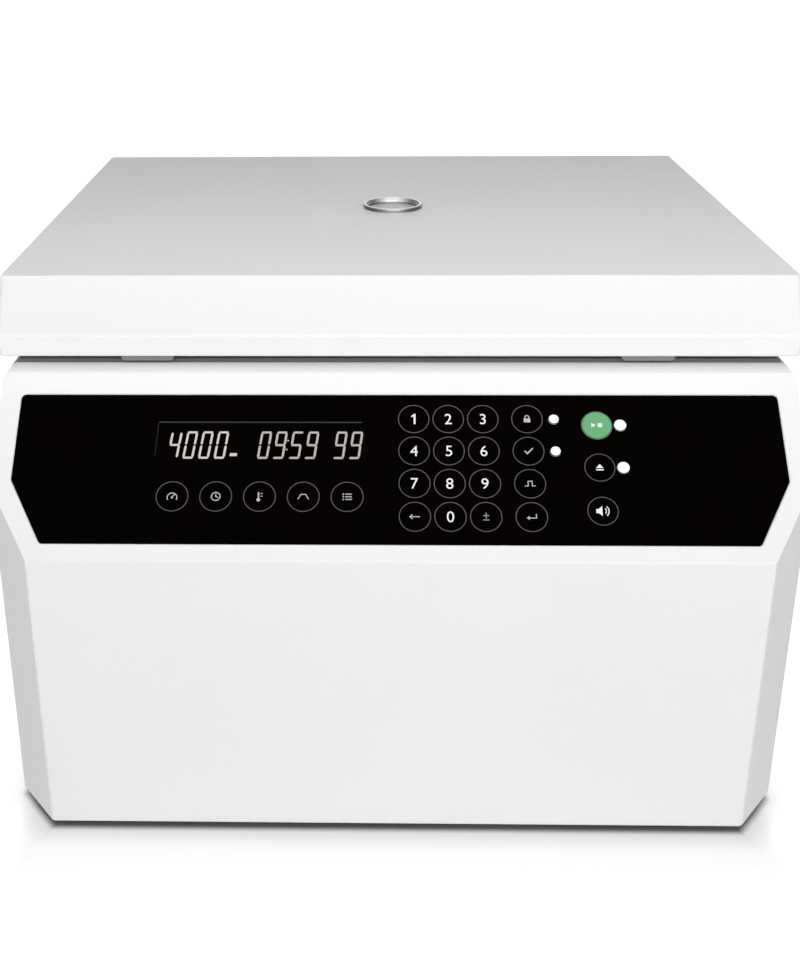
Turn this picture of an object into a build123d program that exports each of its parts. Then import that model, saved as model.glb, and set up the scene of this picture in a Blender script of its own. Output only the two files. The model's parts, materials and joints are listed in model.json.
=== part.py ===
from build123d import *
import os
from math import cos, radians, sin, sqrt, tan

# Cytocentrifuge: a bench instrument that spins sample funnels against glass slides.
# Millimetres. X runs to the right, Y to the back, Z up from the bench.

# ---- Casing ----
body_width = 416.0
underside_height = 4.0          # bench to the lower edge of the casing
crease_height = 162.2           # where the lower front turns into the sloping panel
panel_slope = 42.57             # degrees from level
panel_over_overlay = 13.0       # slope left between the overlay and the rim
rim_run = 8.6
rim_rise = 3.4
rim_lip = 1.5                   # the rim's back edge stands this far over the casing top
rim_edge_radius = 0.8
corner_cut_across = 22.4        # front corners are cut off in plan
corner_cut_back = 30.7
corner_radius = 3.0
crease_radius = 2.5
shoulder_radius = 8.0           # long top edges of the casing
foot_edge_radius = 1.5          # lower edge of the casing, all round
casing_wall = 3.0
cheek_width = 14.0              # strip of the front cover beside the sloping panel
seam_gap = 0.4
seam_setback = 3.0              # seam behind the cut corners
ledge_depth = 30.0              # low ledge at the back that carries the hinges
ledge_drop = 5.0
top_flange = 10.0               # casing flange that the deck lies on
front_flange = 2.5
return_flange = 12.0            # flanges of the casing's sides, behind which the back panel is screwed
return_sheet = 1.5
return_lift = 2.0               # above the pan's wall
boss_radius = 4.5
boss_bore = 1.6
boss_length = 10.0
boss_column = 150.0
boss_heights = (45.0, 125.0)
rib_sheet = 1.8
rib_depth = 6.0
rib_column = 75.0
rib_foot = 26.0
rib_head = 146.0

# ---- Base ----
pan_sheet = 1.5
pan_flange = 16.0
pan_clearance = 0.3
pan_recess = 1.5                # pan underside above the casing's lower edge
foot_radius = 13.0
foot_taper = 2.0
foot_recess_radius = 4.5
foot_recess = 3.0
foot_inset_across = 42.0
foot_inset_back = 46.0

# ---- Deck, chamber and gasket ----
deck_sheet = 2.5
deck_side_margin = 4.5          # deck's side edges inside the casing's sides
deck_bevel = 2.0
deck_fit = 1.0                  # deck to bowl
deck_land = 10.1                # deck left behind the bowl
chamber_radius = 143.0
bowl_sheet = 1.5
bowl_room = 2.05                # lock's gearbox to bowl
bowl_over_motor = 13.0
bowl_flange = 7.0
bowl_bend = 12.0                # inside radius at the chamber floor
gasket_width = 6.0
gasket_clearance = 0.3

# ---- Lid ----
lid_side_margin = 1.25          # top face's side edges inside the casing's sides
lid_rear_margin = 10.3          # top face's rear edge in front of the casing's rear
lid_overhang = 1.66             # top face's front edge in front of the rim's back edge
lid_gap = 3.3                   # deck to the lid's lower edge
lid_band_height = 11.0
lid_side_height = 31.8
lid_flare = 4.5
lid_tuck = 0.5
lid_step = 0.5                  # the lower band stands this far out
lid_step_rise = 1.6             # height of the band's bevelled top edge
lid_corner = 3.0
lid_edge_radius = 0.9
lid_foot_radius = 1.6           # rounding of the lid's lower edge
lid_wall = 2.0
liner_sheet = 2.0
liner_recess = 2.1              # liner underside above the lid's lower edge
liner_clearance = 0.3
liner_pan_inset = 13.0          # pan's rim inside the chamber's wall
liner_pan_rise = 6.0
window_radius = 18.25
window_lip = 2.5
window_rim = 0.9                # flat top of the window's bezel
window_soft = 0.5               # its outer bevel
window_drop = 2.0               # pane's face below the bezel's top
window_bore = 14.8
window_tube_wall = 1.4
window_ledge = 1.2
pane_thickness = 3.0
pane_clearance = 0.2

# ---- Hinges ----
hinge_spacing = 240.0
hinge_behind_lid_edge = 5.7     # axis in front of the lid's rear top edge
hinge_over_lid_edge = 4.1       # axis above the lid's lower edge
knuckle_radius = 5.5
knuckle_length = 30.0
hinge_pin_radius = 3.0
running_clearance = 0.05
hinge_ear = 3.0
hinge_side_clearance = 0.4
hinge_plate = 2.5
hinge_plate_margin = 2.0
hinge_notch_front = 3.0
hinge_notch_over = 1.0
arm_sheet = 3.0
arm_reach = 52.0

# ---- Lid lock ----
latch_spacing = 264.0
guard_width = 28.2
guard_depth = 27.0
guard_corner = 2.4
guard_clearance = 0.3           # guard to deck
striker_back = 5.9              # striker behind the guard's middle
striker_wire = 4.5
striker_span = 14.0             # between the loop's two legs
striker_drop = 17.0             # deck top down to the loop's bar
striker_plate = 1.5
striker_plate_margin = 1.3
slot_clearance = 2.6
guard_bore_margin = 1.0
lock_shaft_radius = 4.0
lock_shaft_over = 28.0          # extra length past the outer hooks, both ends together
lock_swing = 16.0               # degrees from released to locked
hook_sheet = 5.0
hook_throat = 0.6               # hook to striker bar
hook_nose = 4.5
hook_corner = 0.8
hook_reach = 22.0               # striker bar down to the lock shaft
lock_ear = 2.0
frame_side_clearance = 0.8
frame_land = 2.0
hook_hub = 2.5                  # metal round the shaft
gearbox_width = 40.0
gearbox_front = 14.0            # reach in front of the shaft axis
gearbox_back = 5.8
gearbox_over = 12.0
gearbox_under = 18.0
gearbox_leg = 6.5               # legs' reach in front of the shaft axis
gearbox_corner = 2.0

# ---- Control panel ----
pocket_depth = 1.8
pocket_edge = 0.5               # bevel round the overlay's pocket
overlay_sheet = 1.0
overlay_fit = 0.2
overlay_foot = 9.6              # up the slope from the crease
overlay_under_shoulder = 34.8
overlay_head_margin = 11.2      # overlay's corners inside the casing's sides
overlay_shoulder_margin = 10.6
overlay_foot_margin = 28.5
overlay_corner = 2.6
pocket_ledge = 4.5
key_gap = 0.15
key_collar = 0.3
key_collar_sheet = 0.6
key_edge = 0.2
board_sheet = 1.6
board_gap = 0.2
board_inset = 3.0
display_left = -125.0
display_right = -17.0
display_tall = 21.7
display_over = 15.2             # overlay left above the display
display_fit = 0.15
glass_sheet = 0.9
keypad_left = 8.5
keypad_foot = 15.25             # overlay's lower edge to the middle of the last row
keypad_rows = 4
keypad_radius = 8.3
keypad_gap_across = 1.25
keypad_gap_down = 1.65
keypad_over = 13.8              # middle of the first row to the overlay's upper edge
command_column = 67.0
function_left = -114.4
function_radius = 8.5
function_gap = 5.2
function_under = 20.9           # display's lower edge to the row's middle
side_column = 102.7
side_over = 17.2
side_radius = 8.0
side_gap = 8.0
small_lamp_radius = 2.95
small_lamp_column = 80.8
large_lamp_radius = 3.35
large_lamp_column = 114.7
lamp_fit = 0.1
lamp_crown = 0.2

# ---- Drive board ----
drive_board_width = 260.0
drive_board_depth = 70.0
drive_board_back = 14.0         # behind the lower front face
standoff_height = 8.0
standoff_radius = 3.0
standoff_inset = 6.0
capacitors = 3
capacitor_radius = 11.0
capacitor_height = 35.0
capacitor_pitch = 30.0
sink_width = 90.0
sink_depth = 50.0
sink_height = 30.0
sink_fins = 8

# ---- Motor and drive ----
mount_radius = 11.0
mount_waist = 7.9
mount_height = 22.0
mount_circle = 72.0
plate_radius = 88.0
plate_sheet = 4.0
motor_radius = 60.0
motor_height = 58.0
motor_neck = 16.0
motor_grooves = 4
shaft_radius = 6.0
shaft_inside_motor = 40.0
bowl_neck_gap = 2.0

# ---- Rotor ----
rotor_room = 15.0               # chamber's wall to the rotor
rotor_over_floor = 11.0
rotor_wall = 2.5
rotor_floor = 3.0
rotor_rim = 2.0
rotor_over_slides = 4.0
hub_radius = 20.0
hub_height = 26.0
hub_bevel = 2.0
shaft_under_hub = 1.0
stations = 8
slide_width = 26.0
slide_height = 76.0
slide_sheet = 1.0
clip_sheet = 1.0
clip_play = 1.5                 # slide to the clip's flanges
clip_flange = 7.0
clip_back_gap = 0.6
clip_window_width = 13.0
clip_window_foot = 25.0
clip_window_tall = 36.0
bail_radius = 0.8
bail_spread = 14.0              # above and below the port
bail_clearance = 0.1
station_fit = 0.3
lug_sheet = 3.0
lug_height = 34.0
funnel_plate = 2.5
funnel_plate_height = 42.0
funnel_plate_margin = 0.5       # plate's side edges inside the slide's
cup_radius = 9.0
cup_wall = 1.6
cup_height = 40.0
cup_point = 4.0                 # radius of the cup's flat end
cup_cone = 5.0
cup_lip = 1.0
cup_lip_height = 2.0
port_height = 24.0              # above the slide's lower end
port_radius = 5.0
port_bore = 3.0
port_length = 4.0
rotor_lid_gap = 0.3
rotor_lid_sheet = 3.0
knob_radius = 17.0
knob_waist = 14.0
knob_head = 6.0
knob_height = 18.0

# ---- Back panel ----
back_sheet = 1.5
back_recess = 3.5
back_fit = 0.3
vent_columns = 2
vent_rows = 12
vent_length = 84.0
vent_width = 4.0
vent_pitch = 9.0
vent_centre_height = 130.0
vent_spacing = 110.0
inlet_inset = 58.0              # from the casing's left side
inlet_height = 48.0
inlet_width = 27.5
inlet_tall = 20.0
inlet_deep = 24.0
inlet_wall = 1.6
inlet_flange_across = 50.0
inlet_flange_tall = 26.0
inlet_flange_sheet = 2.0
inlet_corner = 4.0
blade_width = 4.0
blade_sheet = 2.0
blade_length = 14.0
blade_spread = 7.05
blade_lift = 2.5                # middle blade over the inlet's middle
blade_drop = 1.5
switch_offset = 50.0            # inlet's middle to the switch's
switch_flange = 2.0
switch_flange_sheet = 1.5
rocker_width = 12.0
rocker_half_height = 9.2
rocker_depth = 4.0
rocker_crown = 2.8              # pivot to the face, at its two ends
rocker_dip = 1.8                # and at its middle
rocker_taper = 1.4
rocker_corner = 0.6
rocker_swing = 16.0
rocker_play = 0.3
rocker_inset = 1.2              # pivot in front of the back panel's outer face
switch_wall = 2.4
pivot_radius = 1.5

# ---- Worked out from the sizes above ----
half_width = body_width / 2
slope = radians(panel_slope)
keypad_pitch_across = 2 * keypad_radius + keypad_gap_across
keypad_pitch_down = 2 * keypad_radius + keypad_gap_down
keypad_top = overlay_foot + keypad_foot + (keypad_rows - 1) * keypad_pitch_down
overlay_head = keypad_top + keypad_over
overlay_shoulder = overlay_foot + overlay_under_shoulder
overlay_head_half = half_width - overlay_head_margin
overlay_shoulder_half = half_width - overlay_shoulder_margin
overlay_foot_half = half_width - overlay_foot_margin
panel_length = overlay_head + panel_over_overlay
display_head = overlay_head - display_over
display_foot = display_head - display_tall
function_pitch = 2 * function_radius + function_gap
function_row = display_foot - function_under
side_head = overlay_head - side_over
side_pitch = 2 * side_radius + side_gap
lid_setback = panel_length * cos(slope) + rim_run - lid_overhang
liner_grow = lid_flare - lid_tuck - lid_wall - liner_clearance
latch_setback = lid_setback - liner_grow + guard_depth / 2 + striker_back
lock_setback = latch_setback - striker_wire / 2 - hook_throat - hook_sheet / 2
chamber_setback = lock_setback + gearbox_back + bowl_room + bowl_sheet + chamber_radius
deck_setback = chamber_setback + chamber_radius + bowl_sheet + deck_fit + deck_land
body_depth = deck_setback + seam_gap + ledge_depth
front = -body_depth / 2
rear = body_depth / 2
panel_top_y = front + panel_length * cos(slope)
panel_top_z = crease_height + panel_length * sin(slope)
rim_y = panel_top_y + rim_run
rim_z = panel_top_z + rim_rise
casing_top = rim_z - rim_lip
ledge_y = rear - ledge_depth
ledge_z = casing_top - ledge_drop
deck_top = casing_top + deck_sheet
deck_front = rim_y + seam_gap
deck_half_width = half_width - deck_side_margin
pan_bottom = underside_height + pan_recess
pan_top = pan_bottom + pan_sheet
chamber_y = front + chamber_setback
chamber_floor = pan_top + mount_height + plate_sheet + motor_height + bowl_over_motor + bowl_sheet
lid_width = body_width - 2 * lid_side_margin
lid_depth = body_depth - lid_setback - lid_rear_margin
lid_bottom = deck_top + lid_gap
lid_crease = lid_bottom + lid_band_height
lid_top = lid_crease + lid_side_height
lid_front = front + lid_setback
lid_middle = lid_front + lid_depth / 2
lid_rear = lid_front + lid_depth
liner_bottom = lid_bottom + liner_recess
liner_top = liner_bottom + liner_sheet
liner_pan_radius = chamber_radius - liner_pan_inset
hinge_y = lid_rear - hinge_behind_lid_edge
hinge_z = lid_bottom + hinge_over_lid_edge
latch_y = front + latch_setback
guard_y = latch_y - striker_back
bar_z = deck_top - striker_drop
lock_y = front + lock_setback
lock_z = bar_z - hook_reach
rotor_low = chamber_floor + rotor_over_floor
rotor_radius = chamber_radius - rotor_room
rotor_height = rotor_floor + clip_sheet + slide_height + rotor_over_slides
clip_width = slide_width + 2 * (clip_sheet + clip_play)
lug_outer = clip_width / 2 + station_fit + lug_sheet
lug_back = sqrt((rotor_radius - rotor_wall - clip_back_gap) ** 2 - lug_outer ** 2)
slide_back = lug_back - 2 * clip_sheet
inlet_x = -(half_width - inlet_inset)
switch_x = inlet_x + switch_offset
far = 60.0                      # reach of a cutting solid past what it cuts

panel = Plane(origin=(0, front, crease_height), x_dir=(1, 0, 0), z_dir=(0, -sin(slope), cos(slope)))
overlay_face = -(pocket_depth - overlay_sheet)
overlay_back = overlay_face - overlay_sheet
board_face = -casing_wall - board_gap


def along_x(outline, half, middle=0.0):
    """Solid with a side-view outline (y, z), half to each side of the middle."""
    return Pos(middle, 0, 0) * extrude(Plane.YZ * outline, half, both=True)


def between(outline, low, high):
    """Solid with a plan outline, from one height to another."""
    return Pos(0, 0, low) * extrude(outline, high - low)


def block(x0, x1, y0, y1, z0, z1):
    """Box given by its lowest and highest corners."""
    centre = Pos((x0 + x1) / 2, (y0 + y1) / 2, (z0 + z1) / 2)
    return centre * Box(x1 - x0, y1 - y0, z1 - z0)


def post(radius, x, y, low, high):
    """Upright round bar."""
    return Pos(x, y, (low + high) / 2) * Cylinder(radius, high - low)


def rod(radius, x0, x1, y, z):
    """Round bar along X."""
    return Pos((x0 + x1) / 2, y, z) * Rot(0, 90, 0) * Cylinder(radius, x1 - x0)


def on_panel(outline, low, high):
    """Solid that stands on the sloping panel, between two heights over its face."""
    return extrude(panel.offset(low) * outline, high - low)


def turned(points):
    """Solid of revolution about the chamber axis, from (radius, height) points."""
    return Pos(0, chamber_y, 0) * revolve(Plane.XZ * Polygon(*points, align=None), Axis.Z)


# ---- Casing forms shared by the front cover, the housing and the base pan ----

def plan_outline(back=rear):
    """The casing from above: a rectangle with its front corners cut off."""
    inner = half_width - corner_cut_across
    cut_y = front + corner_cut_back
    outline = Polygon((-inner, front), (inner, front), (half_width, cut_y), (half_width, back),
                      (-half_width, back), (-half_width, cut_y), align=None)
    return fillet(outline.vertices().filter_by(lambda v: v.Y < cut_y + 1), corner_radius)


def side_outline():
    """The casing from its right side."""
    outline = Polygon((front, underside_height), (rear, underside_height), (rear, ledge_z),
                      (ledge_y, ledge_z), (ledge_y, casing_top), (rim_y, casing_top), (rim_y, rim_z),
                      (panel_top_y, panel_top_z), (front, crease_height), align=None)
    bends = outline.vertices().filter_by(lambda v: v.X < rim_y - 1 and v.Y > underside_height + 1)
    outline = fillet(bends, crease_radius)
    return fillet(outline.vertices().sort_by(Axis.Y)[-1], rim_edge_radius)


def void_outline():
    """Side view of the hollow, open below and at the back."""
    bend_y = front + (casing_top - crease_height) / tan(slope)
    outline = Polygon((front, -far), (rear + far, -far), (rear + far, ledge_z), (ledge_y, ledge_z),
                      (ledge_y, casing_top), (bend_y, casing_top), (front, crease_height), align=None)
    return offset(outline, -casing_wall, kind=Kind.INTERSECTION)


def end_outline(inset):
    """The casing from the front: upright sides and rounded shoulders."""
    half = half_width - inset
    top = rim_z - inset
    outline = Polygon((-half, -far), (half, -far), (half, top), (-half, top), align=None)
    return fillet(outline.vertices().filter_by(lambda v: v.Y > 0), shoulder_radius - inset)


def casing_shell():
    """The whole casing as one thin shell, before it is cut along its seam."""
    reach = body_depth + far
    footprint = between(plan_outline(), underside_height, rim_z + far)
    footprint = fillet(footprint.faces().sort_by(Axis.Z)[0].edges(), foot_edge_radius)
    outer = along_x(side_outline(), half_width) & footprint
    outer &= extrude(Plane.XZ * end_outline(0), reach, both=True)
    hollow = along_x(void_outline(), half_width)
    hollow &= between(offset(plan_outline(rear + 2 * far), -casing_wall), -far, rim_z + far)
    hollow &= extrude(Plane.XZ * end_outline(casing_wall), reach, both=True)
    return outer - hollow


def cover_side(back):
    """Region in front of the seam, whose line is moved back by the given amount."""
    seam_y = front + corner_cut_back + seam_setback + back
    top_y = rim_y + back
    drop = (cheek_width / cos(slope))
    knee_z = crease_height + (corner_cut_back + seam_setback) * tan(slope) - drop
    upper_z = knee_z + (top_y - seam_y) * tan(slope)
    outline = Polygon((front - far, -far), (seam_y, -far), (seam_y, knee_z), (top_y, upper_z),
                      (top_y, rim_z + far), (front - far, rim_z + far), align=None)
    return along_x(outline, half_width + far)


def overlay_outline(grow=0.0):
    """Six-sided outline of the control overlay on the panel."""
    outline = Polygon((-overlay_foot_half, overlay_foot), (overlay_foot_half, overlay_foot),
                      (overlay_shoulder_half, overlay_shoulder), (overlay_head_half, overlay_head),
                      (-overlay_head_half, overlay_head), (-overlay_shoulder_half, overlay_shoulder),
                      align=None)
    return offset(fillet(outline.vertices(), overlay_corner), grow)


def front_cover():
    """Moulded front: lower face, cut corners, sloping panel frame and rim."""
    cover = casing_shell() & cover_side(0)
    cover -= on_panel(overlay_outline(overlay_fit), -pocket_depth, far)
    cover -= loft([panel.offset(-pocket_edge) * overlay_outline(overlay_fit),
                   panel.offset(pocket_edge) * overlay_outline(overlay_fit + 2 * pocket_edge)], ruled=True)
    cover -= on_panel(overlay_outline(-pocket_ledge), -casing_wall - 1, far)
    for piece in cover_ribs() + cover_bosses():
        cover += piece
    return cover


def cover_ribs():
    """Two upright ribs behind the lower face."""
    inside = front + casing_wall
    ribs = []
    for x in (-rib_column, rib_column):
        ribs.append(block(x - rib_sheet / 2, x + rib_sheet / 2, inside - 1, inside + rib_depth,
                          rib_foot, rib_head))
    return ribs


def cover_bosses():
    """Four screw bosses behind the lower face, open to the back."""
    inside = front + casing_wall
    bosses = []
    for x in (-boss_column, boss_column):
        for z in boss_heights:
            boss = Pos(x, inside + boss_length / 2, z) * Rot(90, 0, 0) * Cylinder(boss_radius, boss_length)
            bore = Pos(x, inside + boss_length, z) * Rot(90, 0, 0) * Cylinder(boss_bore, boss_length)
            bosses.append(boss - bore)
    return bosses


def housing():
    """Sides, top flange and hinge ledge of the casing, with a return flange at each side's rear."""
    shell = casing_shell() - cover_side(seam_gap)
    opening_half = deck_half_width - top_flange
    opening_front = deck_front + front_flange
    shell -= block(-opening_half, opening_half, opening_front, ledge_y - top_flange,
                   ledge_z - far, casing_top + 1)
    inside = half_width - casing_wall
    back = back_face() - back_sheet
    low = pan_bottom + pan_flange + return_lift
    high = ledge_z - shoulder_radius - casing_wall
    shell += block(inside - return_flange, inside + 1, back - return_sheet, back, low, high)
    shell += block(-inside - 1, return_flange - inside, back - return_sheet, back, low, high)
    return shell


def base_pan():
    """Sheet tray that closes the casing from below."""
    outside = offset(plan_outline(rear - back_recess - back_sheet), -casing_wall - pan_clearance)
    inside = offset(outside, -pan_sheet)
    tray = between(outside, pan_bottom, pan_bottom + pan_flange)
    return tray - between(inside, pan_top, pan_bottom + pan_flange + 1)


def foot_places():
    """The four feet's centres."""
    x = half_width - foot_inset_across
    return [(sx * x, sy) for sy in (front + foot_inset_back, rear - foot_inset_back) for sx in (-1, 1)]


def rubber_feet():
    """Four rubber feet under the pan, narrower where they meet the bench, with a recess below."""
    section = Polygon((0, foot_recess), (foot_recess_radius, foot_recess), (foot_recess_radius, 0),
                      (foot_radius - foot_taper, 0), (foot_radius, pan_bottom), (0, pan_bottom), align=None)
    foot = revolve(Plane.XZ * section, Axis.Z)
    return [Pos(x, y, 0) * foot for x, y in foot_places()]


# ---- Deck, chamber and gasket ----

def latch_centres():
    """X of the two latches."""
    return (-latch_spacing / 2, latch_spacing / 2)


def slot_half():
    """Half sizes of a latch slot, across and back."""
    return (striker_span + striker_wire) / 2 + slot_clearance, striker_wire + slot_clearance


def top_deck():
    """Dark deck plate round the chamber, with bevelled edges and two latch slots."""
    low = Rectangle(2 * deck_half_width, ledge_y - seam_gap - deck_front)
    high = offset(low, -deck_bevel, kind=Kind.INTERSECTION)
    centre = Pos(0, (ledge_y - seam_gap + deck_front) / 2, 0)
    plate = centre * loft([Pos(0, 0, casing_top) * low, Pos(0, 0, deck_top) * high], ruled=True)
    plate -= post(chamber_radius + bowl_sheet + deck_fit, 0, chamber_y, casing_top - 1, deck_top + 1)
    across, back = slot_half()
    for x in latch_centres():
        plate -= block(x - across, x + across, latch_y - back, latch_y + back, casing_top - 1, deck_top + 1)
    return plate


def rounded_drum(radius, low, high, bend):
    """Upright drum on the chamber axis with a rounded lower edge."""
    drum = post(radius, 0, chamber_y, low, high)
    return fillet(drum.edges().sort_by(Axis.Z)[0], bend)


def chamber_bowl():
    """Drawn steel bowl with a flange on the deck and a hole for the motor's neck."""
    outer = rounded_drum(chamber_radius + bowl_sheet, chamber_floor - bowl_sheet, deck_top + bowl_sheet,
                         bowl_bend + bowl_sheet)
    flange = post(chamber_radius + bowl_flange, 0, chamber_y, deck_top, deck_top + bowl_sheet)
    inner = rounded_drum(chamber_radius, chamber_floor, deck_top + far, bowl_bend)
    neck_hole = post(motor_neck + bowl_neck_gap, 0, chamber_y, chamber_floor - far, chamber_floor + 1)
    return outer + flange - inner - neck_hole


def chamber_gasket():
    """Rubber ring on the bowl's flange, which the closed lid presses on."""
    low = deck_top + bowl_sheet
    high = liner_bottom - gasket_clearance
    outer_radius = chamber_radius + bowl_flange
    lip = (high - low) / 2
    section = [(outer_radius - gasket_width, low), (outer_radius, low), (outer_radius, low + lip),
               (outer_radius - gasket_width / 3, high), (outer_radius - gasket_width, high)]
    return turned(section)


# ---- Control panel ----

def key_layout():
    """Each key's name with its place on the panel and its radius."""
    keys = {}
    keypad = (("key_1", "key_2", "key_3"), ("key_4", "key_5", "key_6"),
              ("key_7", "key_8", "key_9"), ("key_back", "key_0", "key_sign"))
    commands = ("key_lock", "key_at_speed", "key_pulse", "key_enter")
    for row, names in enumerate(keypad):
        height = keypad_top - row * keypad_pitch_down
        for column, name in enumerate(names):
            keys[name] = (keypad_left + column * keypad_pitch_across, height, keypad_radius)
        keys[commands[row]] = (command_column, height, keypad_radius)
    for column, name in enumerate(("key_speed", "key_time", "key_temp", "key_ramp", "key_program")):
        keys[name] = (function_left + column * function_pitch, function_row, function_radius)
    for row, name in enumerate(("key_start_stop", "key_open", "key_sound")):
        keys[name] = (side_column, side_head - row * side_pitch, side_radius)
    return keys


def lamp_layout():
    """Places and radii of the four status lamps."""
    by_keypad = (keypad_top, keypad_top - keypad_pitch_down)
    by_side_keys = (side_head, side_head - side_pitch)
    small = [(small_lamp_column, height, small_lamp_radius) for height in by_keypad]
    large = [(large_lamp_column, height, large_lamp_radius) for height in by_side_keys]
    return small + large


def display_outline(grow=0.0):
    """Window of the display."""
    across = display_right - display_left
    centre = Pos((display_left + display_right) / 2, display_head - display_tall / 2)
    return centre * Rectangle(across + 2 * grow, display_tall + 2 * grow)


def control_overlay():
    """Black overlay plate with round openings for keys and lamps and a display window."""
    sheet = on_panel(overlay_outline(), overlay_back, overlay_face)
    openings = [Pos(x, y) * Circle(radius + key_gap) for x, y, radius in key_layout().values()]
    openings += [Pos(x, y) * Circle(radius + lamp_fit) for x, y, radius in lamp_layout()]
    for outline in openings:
        sheet -= on_panel(outline, overlay_back - 1, overlay_face + 1)
    return sheet - on_panel(display_outline(display_fit), overlay_back - 1, overlay_face + 1)


def key(x, y, radius):
    """One key: a disc flush with the overlay, with a collar behind it that holds it in."""
    collar_back = overlay_back - key_gap - key_collar_sheet
    disc = on_panel(Pos(x, y) * Circle(radius), collar_back, overlay_face)
    rim = disc.edges().filter_by(GeomType.CIRCLE).sort_by(lambda e: panel.to_local_coords(e.center()).Z)[-1]
    disc = chamfer(rim, key_edge)
    collar = on_panel(Pos(x, y) * Circle(radius + key_collar), collar_back, overlay_back - key_gap)
    return disc + collar


def display_window():
    """Clear pane over the display, flush with the overlay."""
    return on_panel(display_outline(), overlay_face - glass_sheet, overlay_face)


def status_lamps():
    """Lamp lenses, from the circuit board to just over the overlay."""
    lenses = []
    for x, y, radius in lamp_layout():
        lens = on_panel(Pos(x, y) * Circle(radius), board_face, overlay_face + lamp_crown)
        lenses.append(lens)
    return lenses


def circuit_boards():
    """Key board with the display's glass cell, and the drive board with its parts on the pan."""
    key_board = on_panel(overlay_outline(-board_inset), board_face - board_sheet, board_face)
    cell_top = overlay_face - glass_sheet - key_gap
    cell = on_panel(display_outline(-display_fit), board_face, cell_top)
    return [key_board, cell] + drive_board()


def drive_board():
    """Motor drive board on four standoffs at the front of the pan."""
    y0 = front + drive_board_back
    y1 = y0 + drive_board_depth
    x1 = drive_board_width / 2
    z0 = pan_top + standoff_height
    z1 = z0 + board_sheet
    board = block(-x1, x1, y0, y1, z0, z1)
    pieces = []
    for x in (-x1 + standoff_inset, x1 - standoff_inset):
        for y in (y0 + standoff_inset, y1 - standoff_inset):
            pieces.append(post(standoff_radius, x, y, pan_top, z0))
    middle = (y0 + y1) / 2
    for index in range(capacitors):
        x = x1 - capacitor_pitch * (index + 1)
        pieces.append(post(capacitor_radius, x, middle, z1, z1 + capacitor_height))
    sink = block(-x1 + 2 * standoff_inset, -x1 + 2 * standoff_inset + sink_width, middle - sink_depth / 2,
                 middle + sink_depth / 2, z1, z1 + sink_height)
    fin_pitch = sink_width / (sink_fins - 0.5)
    for index in range(sink_fins - 1):
        x = -x1 + 2 * standoff_inset + fin_pitch * (index + 0.5)
        sink -= block(x, x + fin_pitch / 2, front - far, rear, z1 + sink_height / 5, z1 + sink_height + 1)
    return [board, sink] + pieces


# ---- Motor and drive ----

def mount_angles():
    """Directions of the three vibration mounts about the motor axis."""
    return [90 + 120 * index for index in range(3)]


def vibration_mounts():
    """Three waisted rubber mounts between the pan and the motor plate."""
    high = pan_top + mount_height
    eighth = mount_height / 8
    section = Polygon((0, pan_top), (mount_radius, pan_top), (mount_radius, pan_top + eighth),
                      (mount_waist, pan_top + 3 * eighth), (mount_waist, high - 3 * eighth),
                      (mount_radius, high - eighth), (mount_radius, high), (0, high), align=None)
    mount = revolve(Plane.XZ * section, Axis.Z)
    return [Pos(mount_circle * cos(radians(a)), chamber_y + mount_circle * sin(radians(a)), 0) * mount
            for a in mount_angles()]


def motor_plate():
    """Round steel plate that the motor stands on, lightened between the mounts."""
    low = pan_top + mount_height
    plate = post(plate_radius, 0, chamber_y, low, low + plate_sheet)
    for angle in mount_angles():
        x = mount_circle * cos(radians(angle + 60))
        y = chamber_y + mount_circle * sin(radians(angle + 60))
        plate -= post(mount_radius, x, y, low - 1, low + plate_sheet + 1)
    return plate


def motor():
    """Flat brushless motor with grooved flanks and a neck through the chamber floor."""
    low = pan_top + mount_height + plate_sheet
    high = low + motor_height
    groove = motor_height / (3 * motor_grooves)
    body = post(motor_radius, 0, chamber_y, low, high)
    body = chamfer(body.edges().filter_by(GeomType.CIRCLE), groove / 2)
    for index in range(motor_grooves):
        base = low + groove * (2 * index + 2.5)
        ring = post(motor_radius + 1, 0, chamber_y, base, base + groove)
        body -= ring - post(motor_radius - groove, 0, chamber_y, base - 1, base + groove + 1)
    body += post(motor_neck, 0, chamber_y, high, chamber_floor + rotor_over_floor / 3)
    return body - post(shaft_radius + running_clearance, 0, chamber_y, high - shaft_inside_motor, rim_z)


def drive_shaft():
    """Spindle from inside the motor to the top of the rotor's hub, with a bevelled end."""
    high = pan_top + mount_height + plate_sheet + motor_height
    top = rotor_low + hub_height - shaft_under_hub
    shaft = post(shaft_radius, 0, chamber_y, high - shaft_inside_motor + running_clearance, top)
    return chamfer(shaft.edges().sort_by(Axis.Z)[-1], 1)


# ---- Rotor, sample funnels and slides ----

def station_angles():
    """Directions of the rotor's stations."""
    return [360 / stations * (index + 0.5) for index in range(stations)]


def at_stations(shape):
    """Copies of a piece, built facing +X at the chamber axis, one at each station."""
    return [Pos(0, chamber_y, 0) * Rot(0, 0, angle) * shape for angle in station_angles()]


def rotor_head():
    """Rotor bowl with its hub and a pair of lugs at each station."""
    low = rotor_low
    high = low + rotor_height
    inner = rotor_radius - rotor_wall
    bowl = turned([(0, low), (rotor_radius, low), (rotor_radius, high - rotor_rim),
                   (rotor_radius + rotor_rim, high - rotor_rim), (rotor_radius + rotor_rim, high),
                   (inner, high), (inner, low + rotor_floor), (0, low + rotor_floor)])
    hub = post(hub_radius, 0, chamber_y, low, low + hub_height)
    hub = chamfer(hub.edges().sort_by(Axis.Z)[-1], hub_bevel)
    bowl += hub
    floor = low + rotor_floor
    lug = block(slide_back - clip_flange, lug_back, lug_outer - lug_sheet, lug_outer,
                floor, floor + lug_height)
    lugs = [lug, mirror(lug, Plane.XZ)]
    for piece in lugs:
        for copy in at_stations(piece):
            bowl += copy
    return bowl - post(shaft_radius, 0, chamber_y, low - 1, low + hub_height - shaft_under_hub)


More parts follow.
